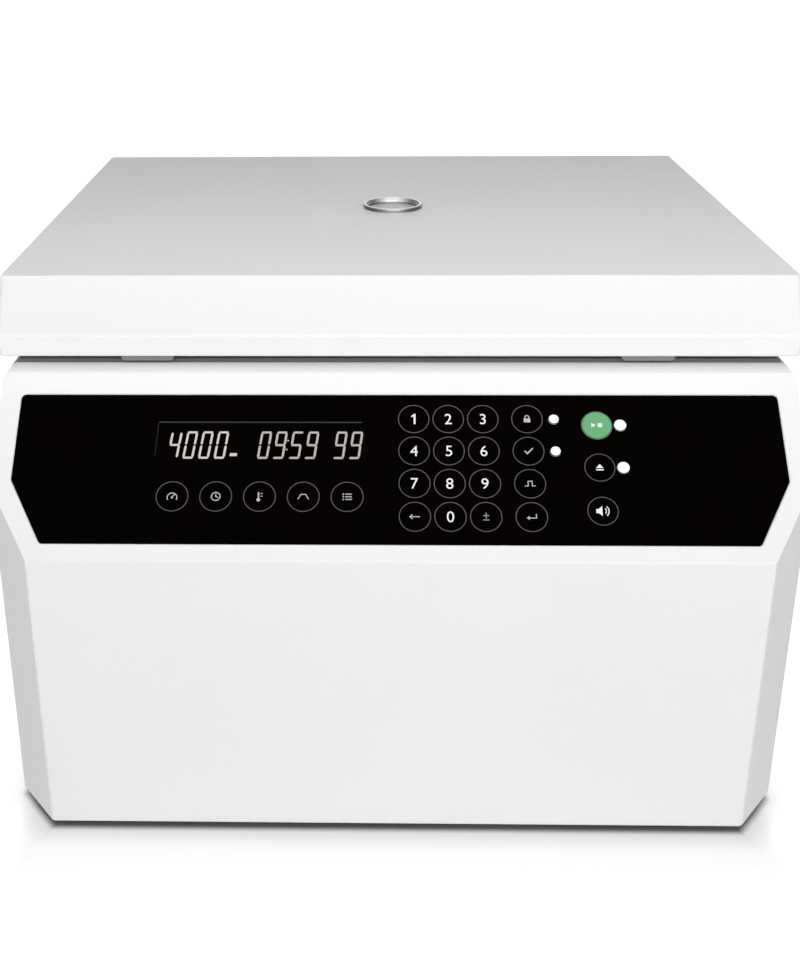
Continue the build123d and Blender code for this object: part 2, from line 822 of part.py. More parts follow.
def port_centre():
    """Height of the funnels' ports."""
    return rotor_low + rotor_floor + clip_sheet + port_height


def slide_clips():
    """Folded steel holders, open towards the axis, each with two spring rods across its funnel's plate."""
    floor = rotor_low + rotor_floor
    half = clip_width / 2
    x0 = slide_back - clip_flange
    x1 = slide_back + clip_sheet
    clip = block(x0, x1, -half, half, floor, floor + slide_height)
    clip -= block(x0 - 1, slide_back, -half + clip_sheet, half - clip_sheet, floor + clip_sheet, rim_z)
    window = clip_window_width / 2
    low = floor + clip_window_foot
    clip -= block(x0 - 1, x1 + 1, -window, window, low, low + clip_window_tall)
    rod_x = slide_back - slide_sheet - funnel_plate - bail_clearance - bail_radius
    for z in (port_centre() - bail_spread, port_centre() + bail_spread):
        clip += Pos(rod_x, 0, z) * Rot(90, 0, 0) * Cylinder(bail_radius, clip_width - clip_sheet)
    return at_stations(clip)


def glass_slides():
    """Microscope slides that stand against the clips' backs."""
    low = rotor_low + rotor_floor + clip_sheet
    slide = block(slide_back - slide_sheet, slide_back, -slide_width / 2, slide_width / 2,
                  low, low + slide_height)
    return at_stations(slide)


def sample_funnels():
    """Sample cups with tapered ends, each with a port that leads through its plate to the slide."""
    face = slide_back - slide_sheet
    plate_back = face - funnel_plate
    port_z = port_centre()
    cup_x = plate_back - port_length - cup_radius + cup_wall
    plate_half = slide_width / 2 - funnel_plate_margin
    funnel = block(plate_back, face, -plate_half, plate_half,
                   port_z - funnel_plate_height / 2, port_z + funnel_plate_height / 2)
    port = (face + cup_x) / 2
    funnel += Pos(port, 0, port_z) * Rot(0, 90, 0) * Cylinder(port_radius, face - cup_x)
    low = port_z - port_radius - cup_wall
    high = low + cup_height
    under_lip = high - cup_lip_height
    lip = cup_radius + cup_lip
    outside = Polygon((0, low), (cup_point, low), (cup_radius, low + cup_cone), (cup_radius, under_lip),
                      (lip, under_lip), (lip, high), (0, high), align=None)
    bore = cup_radius - cup_wall
    inside_low = low + cup_wall
    inside = Polygon((0, inside_low), (cup_point - cup_wall / 2, inside_low), (bore, inside_low + cup_cone),
                     (bore, high + 1), (0, high + 1), align=None)
    funnel += Pos(cup_x, 0, 0) * revolve(Plane.XZ * outside, Axis.Z)
    funnel -= Pos(cup_x, 0, 0) * revolve(Plane.XZ * inside, Axis.Z)
    channel = Pos(port, 0, port_z) * Rot(0, 90, 0) * Cylinder(port_bore, face - cup_x + 1)
    return at_stations(funnel - (channel & block(cup_x, face + 1, -far, far, port_z - far, port_z + far)))


def rotor_lid():
    """Clear lid of the rotor with its turned knob."""
    low = rotor_low + rotor_height + rotor_lid_gap
    high = low + rotor_lid_sheet
    top = high + knob_height
    radius = rotor_radius + rotor_rim
    under_head = top - knob_head - (knob_radius - knob_waist) / 2
    return turned([(0, low), (radius - 1, low), (radius, low + 1), (radius, high - 1), (radius - 1, high),
                   (knob_waist, high), (knob_waist, under_head), (knob_radius, top - knob_head),
                   (knob_radius, top - 1), (knob_radius - 1, top), (0, top)])


# ---- Lid ----

def lid_form(inset):
    """The lid's outer form, or its hollow when inset by the wall."""
    def ring(height, grow):
        across = lid_width + 2 * (grow - inset)
        deep = lid_depth + 2 * (grow - inset)
        return Pos(0, lid_middle, height) * RectangleRounded(across, deep, lid_corner - inset)
    roof = lid_top - inset
    over_step = lid_crease + lid_step_rise
    upper_flare = lid_flare - lid_step
    roof_grow = upper_flare * inset / (lid_top - over_step)
    upper = loft([ring(over_step, upper_flare), ring(roof, roof_grow)], ruled=True)
    if inset < lid_edge_radius:
        upper = fillet(upper.faces().sort_by(Axis.Z)[-1].edges(), lid_edge_radius - inset)
    step = loft([ring(lid_crease, lid_flare), ring(over_step, upper_flare)], ruled=True)
    band = loft([ring(lid_bottom, lid_flare - lid_tuck), ring(lid_crease, lid_flare)], ruled=True)
    if inset < lid_edge_radius:
        band = fillet(band.faces().sort_by(Axis.Z)[0].edges(), lid_foot_radius)
    return upper + step + band


def hinge_centres():
    """X of the two hinges."""
    return (-hinge_spacing / 2, hinge_spacing / 2)


def hinge_half():
    """Half the width of a hinge over its two ears."""
    return knuckle_length / 2 + hinge_side_clearance + hinge_ear


def hinge_notch(x, low, high):
    """Room for a hinge in the lid's rear edge."""
    half = hinge_half() + hinge_side_clearance + liner_sheet
    notch_front = hinge_y - knuckle_radius - hinge_notch_front
    return block(x - half, x + half, notch_front, lid_rear + far, low, high)


def lid_cover():
    """Lid shell with a port for the window and a notch at each hinge."""
    hollow = lid_form(lid_wall)
    below = Pos(0, lid_middle, 0) * Rectangle(lid_width + 2 * (lid_flare - lid_tuck - lid_wall),
                                              lid_depth + 2 * (lid_flare - lid_tuck - lid_wall))
    shell = lid_form(0) - hollow - between(below, lid_bottom - 1, lid_bottom)
    shell -= post(window_bore + window_tube_wall, 0, chamber_y, lid_crease, lid_top + 1)
    for x in hinge_centres():
        shell -= hinge_notch(x, lid_bottom - 1, hinge_z + knuckle_radius + hinge_notch_over)
    return shell


def liner_outline():
    """Plan of the liner, just inside the lid's shell."""
    return RectangleRounded(lid_width + 2 * liner_grow, lid_depth + 2 * liner_grow, lid_corner)


def lid_liner():
    """Pressed inner panel of the lid, with a raised pan over the chamber."""
    liner = Pos(0, lid_middle, 0) * between(liner_outline(), liner_bottom, liner_top)
    r = liner_pan_radius
    rise = liner_pan_rise
    liner -= post(r, 0, chamber_y, liner_bottom - 1, liner_top + 1)
    liner += turned([(r, liner_bottom), (r, liner_top), (r - rise, liner_top + rise), (0, liner_top + rise),
                     (0, liner_bottom + rise), (r - rise - liner_sheet / 2, liner_bottom + rise),
                     (r - liner_sheet / 2, liner_bottom)])
    liner -= post(window_bore, 0, chamber_y, liner_bottom, liner_top + rise + 1)
    for x in hinge_centres():
        liner -= hinge_notch(x, liner_bottom - 1, liner_top + 1)
    return liner


def lid_window_ring():
    """Bezel and tube of the window, from the lid's top down to the liner."""
    tube = window_bore + window_tube_wall
    foot = liner_top + liner_pan_rise
    top = lid_top + window_lip
    face = top - window_drop
    seat = face - pane_thickness
    edge = window_radius - window_soft
    return turned([(window_bore, seat), (window_bore, face), (edge - window_rim, top), (edge, top),
                   (window_radius, top - window_soft), (window_radius, lid_top), (tube, lid_top),
                   (tube, foot), (window_bore - window_ledge, foot), (window_bore - window_ledge, seat)])


def lid_window():
    """Round pane on the ledge inside the window's tube."""
    seat = lid_top + window_lip - window_drop - pane_thickness
    pane = post(window_bore - pane_clearance, 0, chamber_y, seat, seat + pane_thickness)
    return chamfer(pane.edges().sort_by(Axis.Z)[-1], 0.5)


def hinge_arms():
    """Steel arms on the liner, each with the knuckle that turns on a hinge pin."""
    arms = []
    for x in hinge_centres():
        half = knuckle_length / 2
        knuckle = rod(knuckle_radius, x - half, x + half, hinge_y, hinge_z)
        arm = block(x - half, x + half, hinge_y - arm_reach, hinge_y, liner_top, liner_top + arm_sheet)
        bore = rod(hinge_pin_radius + running_clearance, x - half - 1, x + half + 1, hinge_y, hinge_z)
        arms.append(knuckle + arm - bore)
    return arms


def hinge_pins():
    """Two hinge pins, held in the brackets' ears."""
    return [rod(hinge_pin_radius, x - hinge_half(), x + hinge_half(), hinge_y, hinge_z)
            for x in hinge_centres()]


def hinge_brackets():
    """Steel brackets on the casing's ledge, with two ears each."""
    brackets = []
    for x in hinge_centres():
        outer = hinge_half()
        bracket = block(x - outer, x + outer, ledge_y + hinge_plate_margin, rear - hinge_plate_margin,
                        ledge_z, ledge_z + hinge_plate)
        for x0, x1 in ((x - outer, x - outer + hinge_ear), (x + outer - hinge_ear, x + outer)):
            bracket += rod(knuckle_radius, x0, x1, hinge_y, hinge_z)
            bracket += block(x0, x1, hinge_y - knuckle_radius, hinge_y + knuckle_radius, ledge_z, hinge_z)
        brackets.append(bracket - rod(hinge_pin_radius, x - outer - 1, x + outer + 1, hinge_y, hinge_z))
    return brackets


# ---- Lid lock ----

def latch_guards():
    """Two blocks under the lid's front edge, round the strikers."""
    low = deck_top + guard_clearance
    across, back = slot_half()
    bore_across = across - guard_bore_margin
    bore_back = back - guard_bore_margin
    half = guard_width / 2
    guards = []
    for x in latch_centres():
        outline = Polygon((x - half, low), (x + half, low), (x + half, liner_bottom),
                          (x - half, liner_bottom), align=None)
        outline = fillet(outline.vertices().filter_by(lambda v: v.Y < low + 0.1), guard_corner)
        guard = Pos(0, guard_y, 0) * extrude(Plane.XZ * outline, guard_depth / 2, both=True)
        guard -= block(x - bore_across, x + bore_across, latch_y - bore_back, latch_y + bore_back,
                       low - 1, liner_bottom + 1)
        guards.append(guard)
    return guards


def latch_strikers():
    """Wire loops under the lid that the lock's hooks catch, each on a small plate."""
    radius = striker_wire / 2
    across, back = slot_half()
    plate_across = across - striker_plate_margin
    plate_back = back - striker_plate_margin
    strikers = []
    for x in latch_centres():
        loop = block(x - plate_across, x + plate_across, latch_y - plate_back, latch_y + plate_back,
                     liner_bottom - striker_plate, liner_bottom)
        loop += rod(radius, x - striker_span / 2, x + striker_span / 2, latch_y, bar_z)
        for side in (x - striker_span / 2, x + striker_span / 2):
            loop += post(radius, side, latch_y, bar_z, liner_bottom - striker_plate / 2)
            loop += Pos(side, latch_y, bar_z) * Sphere(radius)
        strikers.append(loop)
    return strikers


def lock_hooks():
    """Two hooks on the lock shaft, drawn at rest: tipped forward, clear of the strikers."""
    radius = striker_wire / 2
    throat = bar_z + radius + hook_throat
    stem_back = lock_y + hook_sheet / 2
    nose_tip = latch_y + radius
    top = throat + hook_nose
    outline = Polygon((lock_y - hook_sheet / 2, lock_z), (stem_back, lock_z), (stem_back, throat),
                      (nose_tip, throat), (nose_tip - hook_nose / 2, top), (lock_y - hook_sheet / 2, top),
                      align=None)
    outline = fillet(outline.vertices().filter_by(lambda v: v.Y > throat - 0.1), hook_corner)
    hooks = []
    for x in latch_centres():
        hook = along_x(outline, hook_sheet / 2, x)
        hook += rod(lock_shaft_radius + hook_hub, x - hook_sheet / 2, x + hook_sheet / 2, lock_y, lock_z)
        hook -= rod(lock_shaft_radius, x - hook_sheet, x + hook_sheet, lock_y, lock_z)
        hooks.append(hook.rotate(Axis((0, lock_y, lock_z), (1, 0, 0)), lock_swing))
    return hooks


def lock_shaft():
    """Cross shaft that carries both hooks and passes through the gearbox."""
    half = (latch_spacing + lock_shaft_over) / 2
    return rod(lock_shaft_radius, -half, half, lock_y, lock_z)


def latch_frames():
    """Brackets under the deck whose ears carry the lock shaft."""
    across, back = slot_half()
    low = lock_z - lock_shaft_radius - hook_hub
    frames = []
    for x in latch_centres():
        outer = across + lock_ear + frame_side_clearance
        y0 = lock_y - lock_shaft_radius - hook_hub
        y1 = latch_y + back + frame_land
        frame = block(x - outer, x + outer, y0, y1, low, casing_top)
        frame -= block(x - outer + lock_ear, x + outer - lock_ear, y0 - 1, y1 + 1,
                       lock_z - far, casing_top - lock_ear)
        frame -= block(x - across, x + across, latch_y - back, latch_y + back, lock_z, casing_top + 1)
        frames.append(frame - rod(lock_shaft_radius + running_clearance, x - far, x + far, lock_y, lock_z))
    return frames


def lock_gearbox():
    """Geared lock motor round the middle of the lock shaft, hung from the deck by two legs."""
    half = gearbox_width / 2
    body = block(-half, half, lock_y - gearbox_front, lock_y + gearbox_back,
                 lock_z - gearbox_under, lock_z + gearbox_over)
    body = fillet(body.edges().filter_by(Axis.X), gearbox_corner)
    for x0 in (-half, half - lock_ear):
        body += block(x0, x0 + lock_ear, lock_y - gearbox_leg, lock_y + gearbox_back - gearbox_corner,
                      lock_z, casing_top)
    return body - rod(lock_shaft_radius + running_clearance, -far, far, lock_y, lock_z)


# ---- Back panel ----

def back_face():
    """Y of the back panel's outer face."""
    return rear - back_recess


def rear_panel():
    """Sheet back with rows of vents and openings for the inlet and the switch."""
    face = back_face()
    half = half_width - casing_wall - back_fit
    panel_sheet = block(-half, half, face - back_sheet, face, pan_bottom, ledge_z - casing_wall - back_fit)
    for column in range(vent_columns):
        x = vent_spacing * (column - (vent_columns - 1) / 2)
        for row in range(vent_rows):
            z = vent_centre_height + vent_pitch * (row - (vent_rows - 1) / 2)
            panel_sheet -= block(x - vent_length / 2, x + vent_length / 2, face - back_sheet - 1, face + 1,
                                 z - vent_width / 2, z + vent_width / 2)
    for x, width in ((inlet_x, inlet_width), (switch_x, rocker_width + 2 * (rocker_play + switch_wall))):
        half_across = width / 2 + back_fit
        half_tall = inlet_tall / 2 + back_fit
        if x == switch_x:
            half_tall = switch_half_tall() + back_fit
        panel_sheet -= block(x - half_across, x + half_across, face - back_sheet - 1, face + 1,
                             inlet_height - half_tall, inlet_height + half_tall)
    return panel_sheet


def power_inlet():
    """Recessed mains inlet with three blades, and the frame of the switch beside it."""
    face = back_face()
    outer = face + inlet_flange_sheet
    x, z = inlet_x, inlet_height
    back = face - inlet_deep
    body = block(x - inlet_width / 2, x + inlet_width / 2, back, face,
                 z - inlet_tall / 2, z + inlet_tall / 2)
    body = fillet(body.edges().filter_by(Axis.Y).group_by(Axis.Z)[-1], inlet_corner)
    body += block(x - inlet_flange_across / 2, x + inlet_flange_across / 2, face, outer,
                  z - inlet_flange_tall / 2, z + inlet_flange_tall / 2)
    half_across = inlet_width / 2 - inlet_wall
    half_tall = inlet_tall / 2 - inlet_wall
    socket = block(x - half_across, x + half_across, back + 2 * inlet_wall, outer + 1,
                   z - half_tall, z + half_tall)
    body -= fillet(socket.edges().filter_by(Axis.Y).group_by(Axis.Z)[-1], inlet_corner - inlet_wall)
    root = back + inlet_wall
    for offset_x, lift in ((-blade_spread, -blade_drop), (0, blade_lift), (blade_spread, -blade_drop)):
        centre = x + offset_x
        low = z + lift - blade_width / 2
        body += block(centre - blade_sheet / 2, centre + blade_sheet / 2, root, root + blade_length,
                      low, low + blade_width)
    return [body, switch_frame()]


def switch_half_tall():
    """Half the height of the switch's body."""
    return rocker_half_height + rocker_dip + rocker_play + switch_wall


def rocker_axis_y():
    """Y of the rocker's pivot, deep enough that its pressed edge stays inside the casing's rear."""
    return back_face() - rocker_inset


def switch_frame():
    """Frame of the power switch, with a pocket for the rocker."""
    face = back_face()
    half_across = rocker_width / 2 + rocker_play + switch_wall
    half_tall = switch_half_tall()
    x, z = switch_x, inlet_height
    back = rocker_axis_y() - 2.5 * rocker_depth - switch_wall
    rim_across = half_across + switch_flange
    rim_tall = half_tall + switch_flange
    body = block(x - half_across, x + half_across, back, face, z - half_tall, z + half_tall)
    body += block(x - rim_across, x + rim_across, face, face + switch_flange_sheet,
                  z - rim_tall, z + rim_tall)
    body -= block(x - half_across + switch_wall, x + half_across - switch_wall, back + switch_wall, rear,
                  z - half_tall + switch_wall, z + half_tall - switch_wall)
    return body - rod(pivot_radius + running_clearance, x - half_across + switch_wall / 2,
                      x + half_across - switch_wall / 2, rocker_axis_y(), z)


def power_rocker():
    """Rocker of the power switch, drawn with its lower half pressed in."""
    y, z = rocker_axis_y(), inlet_height
    half = rocker_half_height
    base = half - rocker_taper
    outline = Polygon((y - rocker_depth, z - base), (y + rocker_crown, z - half), (y + rocker_dip, z),
                      (y + rocker_crown, z + half), (y - rocker_depth, z + base), align=None)
    outline = fillet(outline.vertices(), rocker_corner)
    rocker = along_x(outline, rocker_width / 2, switch_x)
    stub = rocker_width / 2 + rocker_play + switch_wall / 2 - 2 * running_clearance
    rocker += rod(pivot_radius, switch_x - stub, switch_x + stub, y, z)
    return rocker.rotate(Axis((0, y, z), (1, 0, 0)), rocker_swing / 2)


nodes = {
    "base_pan": base_pan, "housing": housing, "front_cover": front_cover, "top_deck": top_deck,
    "control_overlay": control_overlay, "display_window": display_window, "status_lamps": status_lamps,
    "circuit_boards": circuit_boards, "chamber_bowl": chamber_bowl, "chamber_gasket": chamber_gasket,
    "motor": motor, "motor_plate": motor_plate, "vibration_mounts": vibration_mounts,
    "rear_panel": rear_panel, "power_inlet": power_inlet, "rubber_feet": rubber_feet,
    "hinge_brackets": hinge_brackets, "hinge_pins": hinge_pins, "latch_frames": latch_frames,
    "lock_gearbox": lock_gearbox,
    "lock_shaft": lock_shaft, "lock_hooks": lock_hooks,
    "power_rocker": power_rocker,
    "lid_cover": lid_cover, "lid_liner": lid_liner, "lid_window_ring": lid_window_ring,
    "lid_window": lid_window, "latch_guards": latch_guards, "latch_strikers": latch_strikers,
    "hinge_arms": hinge_arms,
    "drive_shaft": drive_shaft, "rotor_head": rotor_head, "slide_clips": slide_clips,
    "glass_slides": glass_slides, "sample_funnels": sample_funnels,
    "rotor_lid": rotor_lid,
}


def write_node(name, shape):
    """Write a node's solid, or its group of separate solids, to its own file."""
    if isinstance(shape, list):
        shape = Compound(children=[solid for piece in shape for solid in piece.solids()])
    export_step(shape, os.path.join("parts", name + ".step"))


os.makedirs("parts", exist_ok=True)
for name, make in nodes.items():
    write_node(name, make())
for name, (x, y, radius) in key_layout().items():
    write_node(name, key(x, y, radius))
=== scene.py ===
"""Looks of a bench cytocentrifuge: paint, print, display, metal and glass over its fixed frame."""

import json
from math import cos, pi, radians, sin

import bmesh
import bpy
from bpy.props import FloatProperty, FloatVectorProperty, PointerProperty
from mathutils import Matrix, Vector
from mathutils.geometry import tessellate_polygon


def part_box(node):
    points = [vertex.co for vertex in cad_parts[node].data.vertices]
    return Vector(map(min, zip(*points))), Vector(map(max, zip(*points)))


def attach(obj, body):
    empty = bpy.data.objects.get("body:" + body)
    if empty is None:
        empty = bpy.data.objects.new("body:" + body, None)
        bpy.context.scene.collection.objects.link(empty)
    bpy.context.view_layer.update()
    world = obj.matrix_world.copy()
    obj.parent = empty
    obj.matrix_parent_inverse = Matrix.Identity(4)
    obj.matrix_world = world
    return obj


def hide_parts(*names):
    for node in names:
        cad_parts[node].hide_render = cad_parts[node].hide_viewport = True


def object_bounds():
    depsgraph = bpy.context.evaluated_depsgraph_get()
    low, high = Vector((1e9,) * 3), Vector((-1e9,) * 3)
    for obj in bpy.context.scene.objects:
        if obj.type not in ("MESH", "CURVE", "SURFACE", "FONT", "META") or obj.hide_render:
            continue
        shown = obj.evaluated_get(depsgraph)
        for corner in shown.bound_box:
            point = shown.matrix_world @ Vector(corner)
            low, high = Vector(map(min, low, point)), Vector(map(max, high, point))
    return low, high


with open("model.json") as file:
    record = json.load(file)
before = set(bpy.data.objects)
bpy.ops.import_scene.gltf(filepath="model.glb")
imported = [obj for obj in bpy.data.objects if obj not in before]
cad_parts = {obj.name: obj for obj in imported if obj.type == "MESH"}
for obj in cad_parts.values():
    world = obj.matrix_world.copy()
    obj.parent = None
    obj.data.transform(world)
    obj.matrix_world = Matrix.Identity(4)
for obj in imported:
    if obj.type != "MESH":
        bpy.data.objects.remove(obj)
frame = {"nodes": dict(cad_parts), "record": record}
cad_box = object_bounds()

bl_info = {
    "name": "Cytocentrifuge looks",
    "version": (1, 0, 0),
    "blender": (4, 5, 0),
    "location": "3D View > Sidebar > Cytocentrifuge",
    "description": "Dresses the frame of a bench cytocentrifuge in its finishes, print and fittings",
    "category": "Add Mesh",
}

MM = 0.001
SLOT_OF = {part["node"]: part["material_slot"] for part in frame["record"]["subparts"]}
BODY_OF = {node: body for body, nodes in frame["record"]["behaviour"]["bodies"].items() for node in nodes}
KEYS = sorted(node for node in SLOT_OF if node.startswith("key_"))
PANEL_SLOPE = radians(42.57)             # sloping control panel, from level
PANEL_FOOT = Vector((0.0, cad_box[0].y, 162.2 * MM))     # middle of its lower edge
PRINT_SHEET = 0.03 * MM                  # thickness of printed ink
BAND_TALL = 11.0 * MM                    # lid's lower band
STEP_RISE = 1.6 * MM                     # bevelled top edge of that band
STATIONS = 8                             # slide holders on the rotor
ROTOR_FLOOR = 3.0 * MM
NUMBER_CIRCLE = 76 * MM                  # radius at which the stations' numbers lie
NUMBER_TALL = 9 * MM
KNOB_RADIUS = 17.5 * MM                  # knob of the rotor's cover
KNOB_TALL = 18.2 * MM
FROSTED_END = 18 * MM                    # writing end of a slide
INLET_ROOT = Vector((-150.0, 193.9, 48.0)) * MM     # middle of the mains inlet, where its blades start
BLADE_PLACES = ((-7.05, -1.5), (0.0, 2.5), (7.05, -1.5))     # of the inlet's blades, in millimetres
BLADE_HALF = (1.05 * MM, 2.05 * MM)      # half of a blade across and up
BLADE_LONG = 14.2 * MM
AXIS = (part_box("chamber_bowl")[0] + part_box("chamber_bowl")[1]) / 2      # chamber's upright axis


# ---- Settings that a user may change ----

def colour_of(name, text, value):
    """A colour setting."""
    return FloatVectorProperty(name=name, description=text, subtype="COLOR", size=3, min=0.0, max=1.0,
                               default=value)


def size_of(name, text, value):
    """A length setting, in metres."""
    return FloatProperty(name=name, description=text, default=value, min=0.0, unit="LENGTH", precision=5)


def angle_of(name, text, degrees):
    """An angle setting, given in degrees."""
    return FloatProperty(name=name, description=text, default=radians(degrees), subtype="ANGLE")


def hue(red, green, blue):
    """Linear colour from display levels, 0 to 255."""
    levels = [level / 255 for level in (red, green, blue)]
    return tuple(v / 12.92 if v < 0.04045 else ((v + 0.055) / 1.055) ** 2.4 for v in levels)


class PaintSettings(bpy.types.PropertyGroup):
    """Colours of the painted and moulded outside."""
    casing: colour_of("Casing", "White of the casing and the front cover", (0.86, 0.86, 0.86))
    lid: colour_of("Lid", "White of the lid", (0.86, 0.86, 0.86))
    deck: colour_of("Deck", "Dark grey of the deck round the chamber", (0.19, 0.19, 0.19))
    guard: colour_of("Latch guards", "Grey of the blocks under the lid's edge", (0.21, 0.21, 0.21))
    overlay: colour_of("Overlay", "Black of the control overlay and its keys", (0.0010, 0.0003, 0.0003))
    start: colour_of("Start key", "Green of the start key", hue(102, 171, 119))
    white: colour_of("White ink", "White print on the keys", (0.86, 0.86, 0.86))
    pale: colour_of("Pale ink", "Pale grey print on the keys", (0.5, 0.5, 0.5))
    grey: colour_of("Grey ink", "Darker grey print on the keys", (0.3, 0.3, 0.3))
    ring: colour_of("Key rings", "Dark grey print round the keys", hue(92, 89, 87))
    glow: colour_of("Display digits", "Light of the display's segments", hue(236, 224, 217))


class DetailSettings(bpy.types.PropertyGroup):
    """Sizes of edges, print and digits."""
    deck_edge: size_of("Deck edges", "Rounding of the deck's edges", 0.4 * MM)
    ring_width: size_of("Ring width", "Width of the printed rings round the keys", 0.42 * MM)
    digit_height: size_of("Key digits", "Height of the keys' digits", 5.9 * MM)
    sign_scale: FloatProperty(name="Sign scale", description="Size of the keys' signs", default=0.8,
                              min=0.1)
    sign_line: size_of("Sign line", "Line width of the keys' signs", 0.5 * MM)
    segment_tall: size_of("Display digit height", "Height of a display digit", 15.6 * MM)
    segment_wide: size_of("Display digit width", "Width of a display digit", 5.7 * MM)
    segment_line: size_of("Segment width", "Width of a display segment", 1.15 * MM)
    segment_pitch: size_of("Display digit pitch", "Spacing of the display's digits", 8.05 * MM)
    screw_radius: size_of("Back screws", "Radius of the back sheet's screw heads", 3.2 * MM)
    small_screw: size_of("Small screws", "Radius of the deck's and liner's screw heads", 2.6 * MM)


class StageSettings(bpy.types.PropertyGroup):
    """Camera, lamps and floor."""
    lens: FloatProperty(name="Lens", description="Focal length", default=51.407, min=1.0, unit="CAMERA")
    yaw: angle_of("Yaw", "Camera's turn to the left", 1.4856)
    tilt: angle_of("Tilt", "Camera's tilt from straight down", 66.6004)
    roll: angle_of("Roll", "Camera's turn about its own axis", -0.4408)
    key_power: FloatProperty(name="Front lamp", description="Power of the large front lamp", default=13.4,
                             min=0.0, unit="POWER")
    strip_power: FloatProperty(name="Strip lamp", description="Power of the long lamp over the lid's front",
                               default=0.92, min=0.0, unit="POWER")
    side_power: FloatProperty(name="Side lamp", description="Power of the small lamp at the left",
                              default=0.65, min=0.0, unit="POWER")
    horizon: FloatProperty(name="Side light", description="Strength of the room's light from the sides",
                           default=0.66, min=0.0)
    zenith: FloatProperty(name="Top light", description="Strength of the room's light from straight above",
                          default=0.02, min=0.0)
    floor_albedo: FloatProperty(name="Floor shade", description="Share of light that the floor returns",
                                default=0.8, min=0.0, max=1.0)


# ---- Shader building ----

class Socket:
    """An output socket of a node tree, on which arithmetic adds Math nodes."""

    def __init__(self, tree, output):
        self.tree = tree
        self.output = output

    def math(self, operation, *values):
        return self.tree.node("ShaderNodeMath", {"operation": operation}, dict(enumerate(values)))

    def unsigned(self):
        """The value without its sign."""
        return self.math("ABSOLUTE", self)

    def __add__(self, other):
        return self.math("ADD", self, other)

    def __sub__(self, other):
        return self.math("SUBTRACT", self, other)

    def __mul__(self, other):
        return self.math("MULTIPLY", self, other)

    def __rsub__(self, other):
        return self.math("SUBTRACT", other, self)

    def __gt__(self, edge):
        return self.math("GREATER_THAN", self, edge)

    def __lt__(self, edge):
        return self.math("LESS_THAN", self, edge)


class NodeTree:
    """The nodes of a material or of the world."""

    def __init__(self, owner):
        owner.use_nodes = True
        self.nodes = owner.node_tree.nodes
        self.links = owner.node_tree.links

    def node(self, kind, settings=None, inputs=None, output=0):
        """Adds a node: its settings first, then the values or links of its inputs."""
        made = self.nodes.new(kind)
        for name, value in (settings or {}).items():
            setattr(made, name, value)
        for name, value in (inputs or {}).items():
            self.plug(made.inputs[name], value)
        return Socket(self, made.outputs[output])

    def plug(self, socket, value):
        """Links a socket of this tree, or sets a plain value."""
        if isinstance(value, Socket):
            self.links.new(value.output, socket)
        else:
            socket.default_value = value


class Finish(NodeTree):
    """A surface finish: a material that grows from its Principled shader."""

    def __init__(self, name, colour, roughness, metallic=0.0, **uniform):
        self.material = bpy.data.materials.new(name)
        super().__init__(self.material)
        self.colour = tuple(colour[:3])
        self.shader = self.nodes["Principled BSDF"]
        self.vary(Base_Color=(*self.colour, 1.0), Roughness=roughness, Metallic=metallic, **uniform)

    def vary(self, **values):
        """Sets the shader's inputs, or feeds them what changes over the surface."""
        for name, value in values.items():
            self.plug(self.shader.inputs[name.replace("_", " ")], value)
        return self

    def place(self, scale=(1.0, 1.0, 1.0)):
        """Place on the piece in metres, each axis times its scale."""
        here = self.node("ShaderNodeTexCoord", output="Object")
        return self.node("ShaderNodeVectorMath", {"operation": "MULTIPLY"}, {0: here, 1: scale})

    def axis(self, letter):
        """Place along one axis, in metres; Z is the height over the bench."""
        return self.node("ShaderNodeSeparateXYZ", {}, {0: self.place()}, output=letter)

    def radius(self):
        """Distance from the chamber's axis, in metres."""
        inputs = {0: self.place((1.0, 1.0, 0.0)), 1: (AXIS.x, AXIS.y, 0.0)}
        return self.node("ShaderNodeVectorMath", {"operation": "DISTANCE"}, inputs, output="Value")

    def noise(self, size, detail=3.0, rough=0.5, place=None):
        """Soft noise whose blotches are about the given size."""
        inputs = {"Vector": place or self.place(), "Scale": 1.0 / size, "Detail": detail,
                  "Roughness": rough}
        return self.node("ShaderNodeTexNoise", {}, inputs)

    def tint(self, factor, low, high):
        """The finish's colour, from its low to its high share of brightness."""
        shares = [(*(min(1.0, channel * share) for channel in self.colour), 1.0) for share in (low, high)]
        return self.mix(factor, *shares)

    def mix(self, factor, first, second):
        """Mix of two colours."""
        return self.node("ShaderNodeMix", {"data_type": "RGBA"}, {0: factor, 6: first, 7: second}, output=2)

    def bump(self, height, strength, depth):
        """Normal that follows a height."""
        inputs = {"Height": height, "Strength": strength, "Distance": depth}
        return self.node("ShaderNodeBump", {}, inputs, output="Normal")

    def cover(self, mask, upper):
        """Mixes another shader over the first, by a mask from 0 to 1."""
        lower = Socket(self, self.shader.outputs[0])
        both = self.node("ShaderNodeMixShader", {}, {0: mask, 1: lower, 2: upper})
        self.plug(self.nodes["Material Output"].inputs["Surface"], both)
        return self

    def overlay(self, mask, colour, roughness, metallic=0.0):
        """A second surface over the first, where the mask is 1."""
        inputs = {"Base Color": (*colour[:3], 1.0), "Roughness": roughness, "Metallic": metallic}
        return self.cover(mask, self.node("ShaderNodeBsdfPrincipled", {}, inputs))


def max_of(first, *others):
    """The largest of several sockets."""
    for other in others:
        first = first.math("MAXIMUM", first, other)
    return first


def spread(value, low, high, share=1.0):
    """From 0 to a share as a value goes from its low to its high edge."""
    inputs = {"Value": value, "From Min": low, "From Max": high, "To Max": share}
    return value.tree.node("ShaderNodeMapRange", {"interpolation_type": "SMOOTHSTEP"}, inputs)


# ---- Families of finish ----

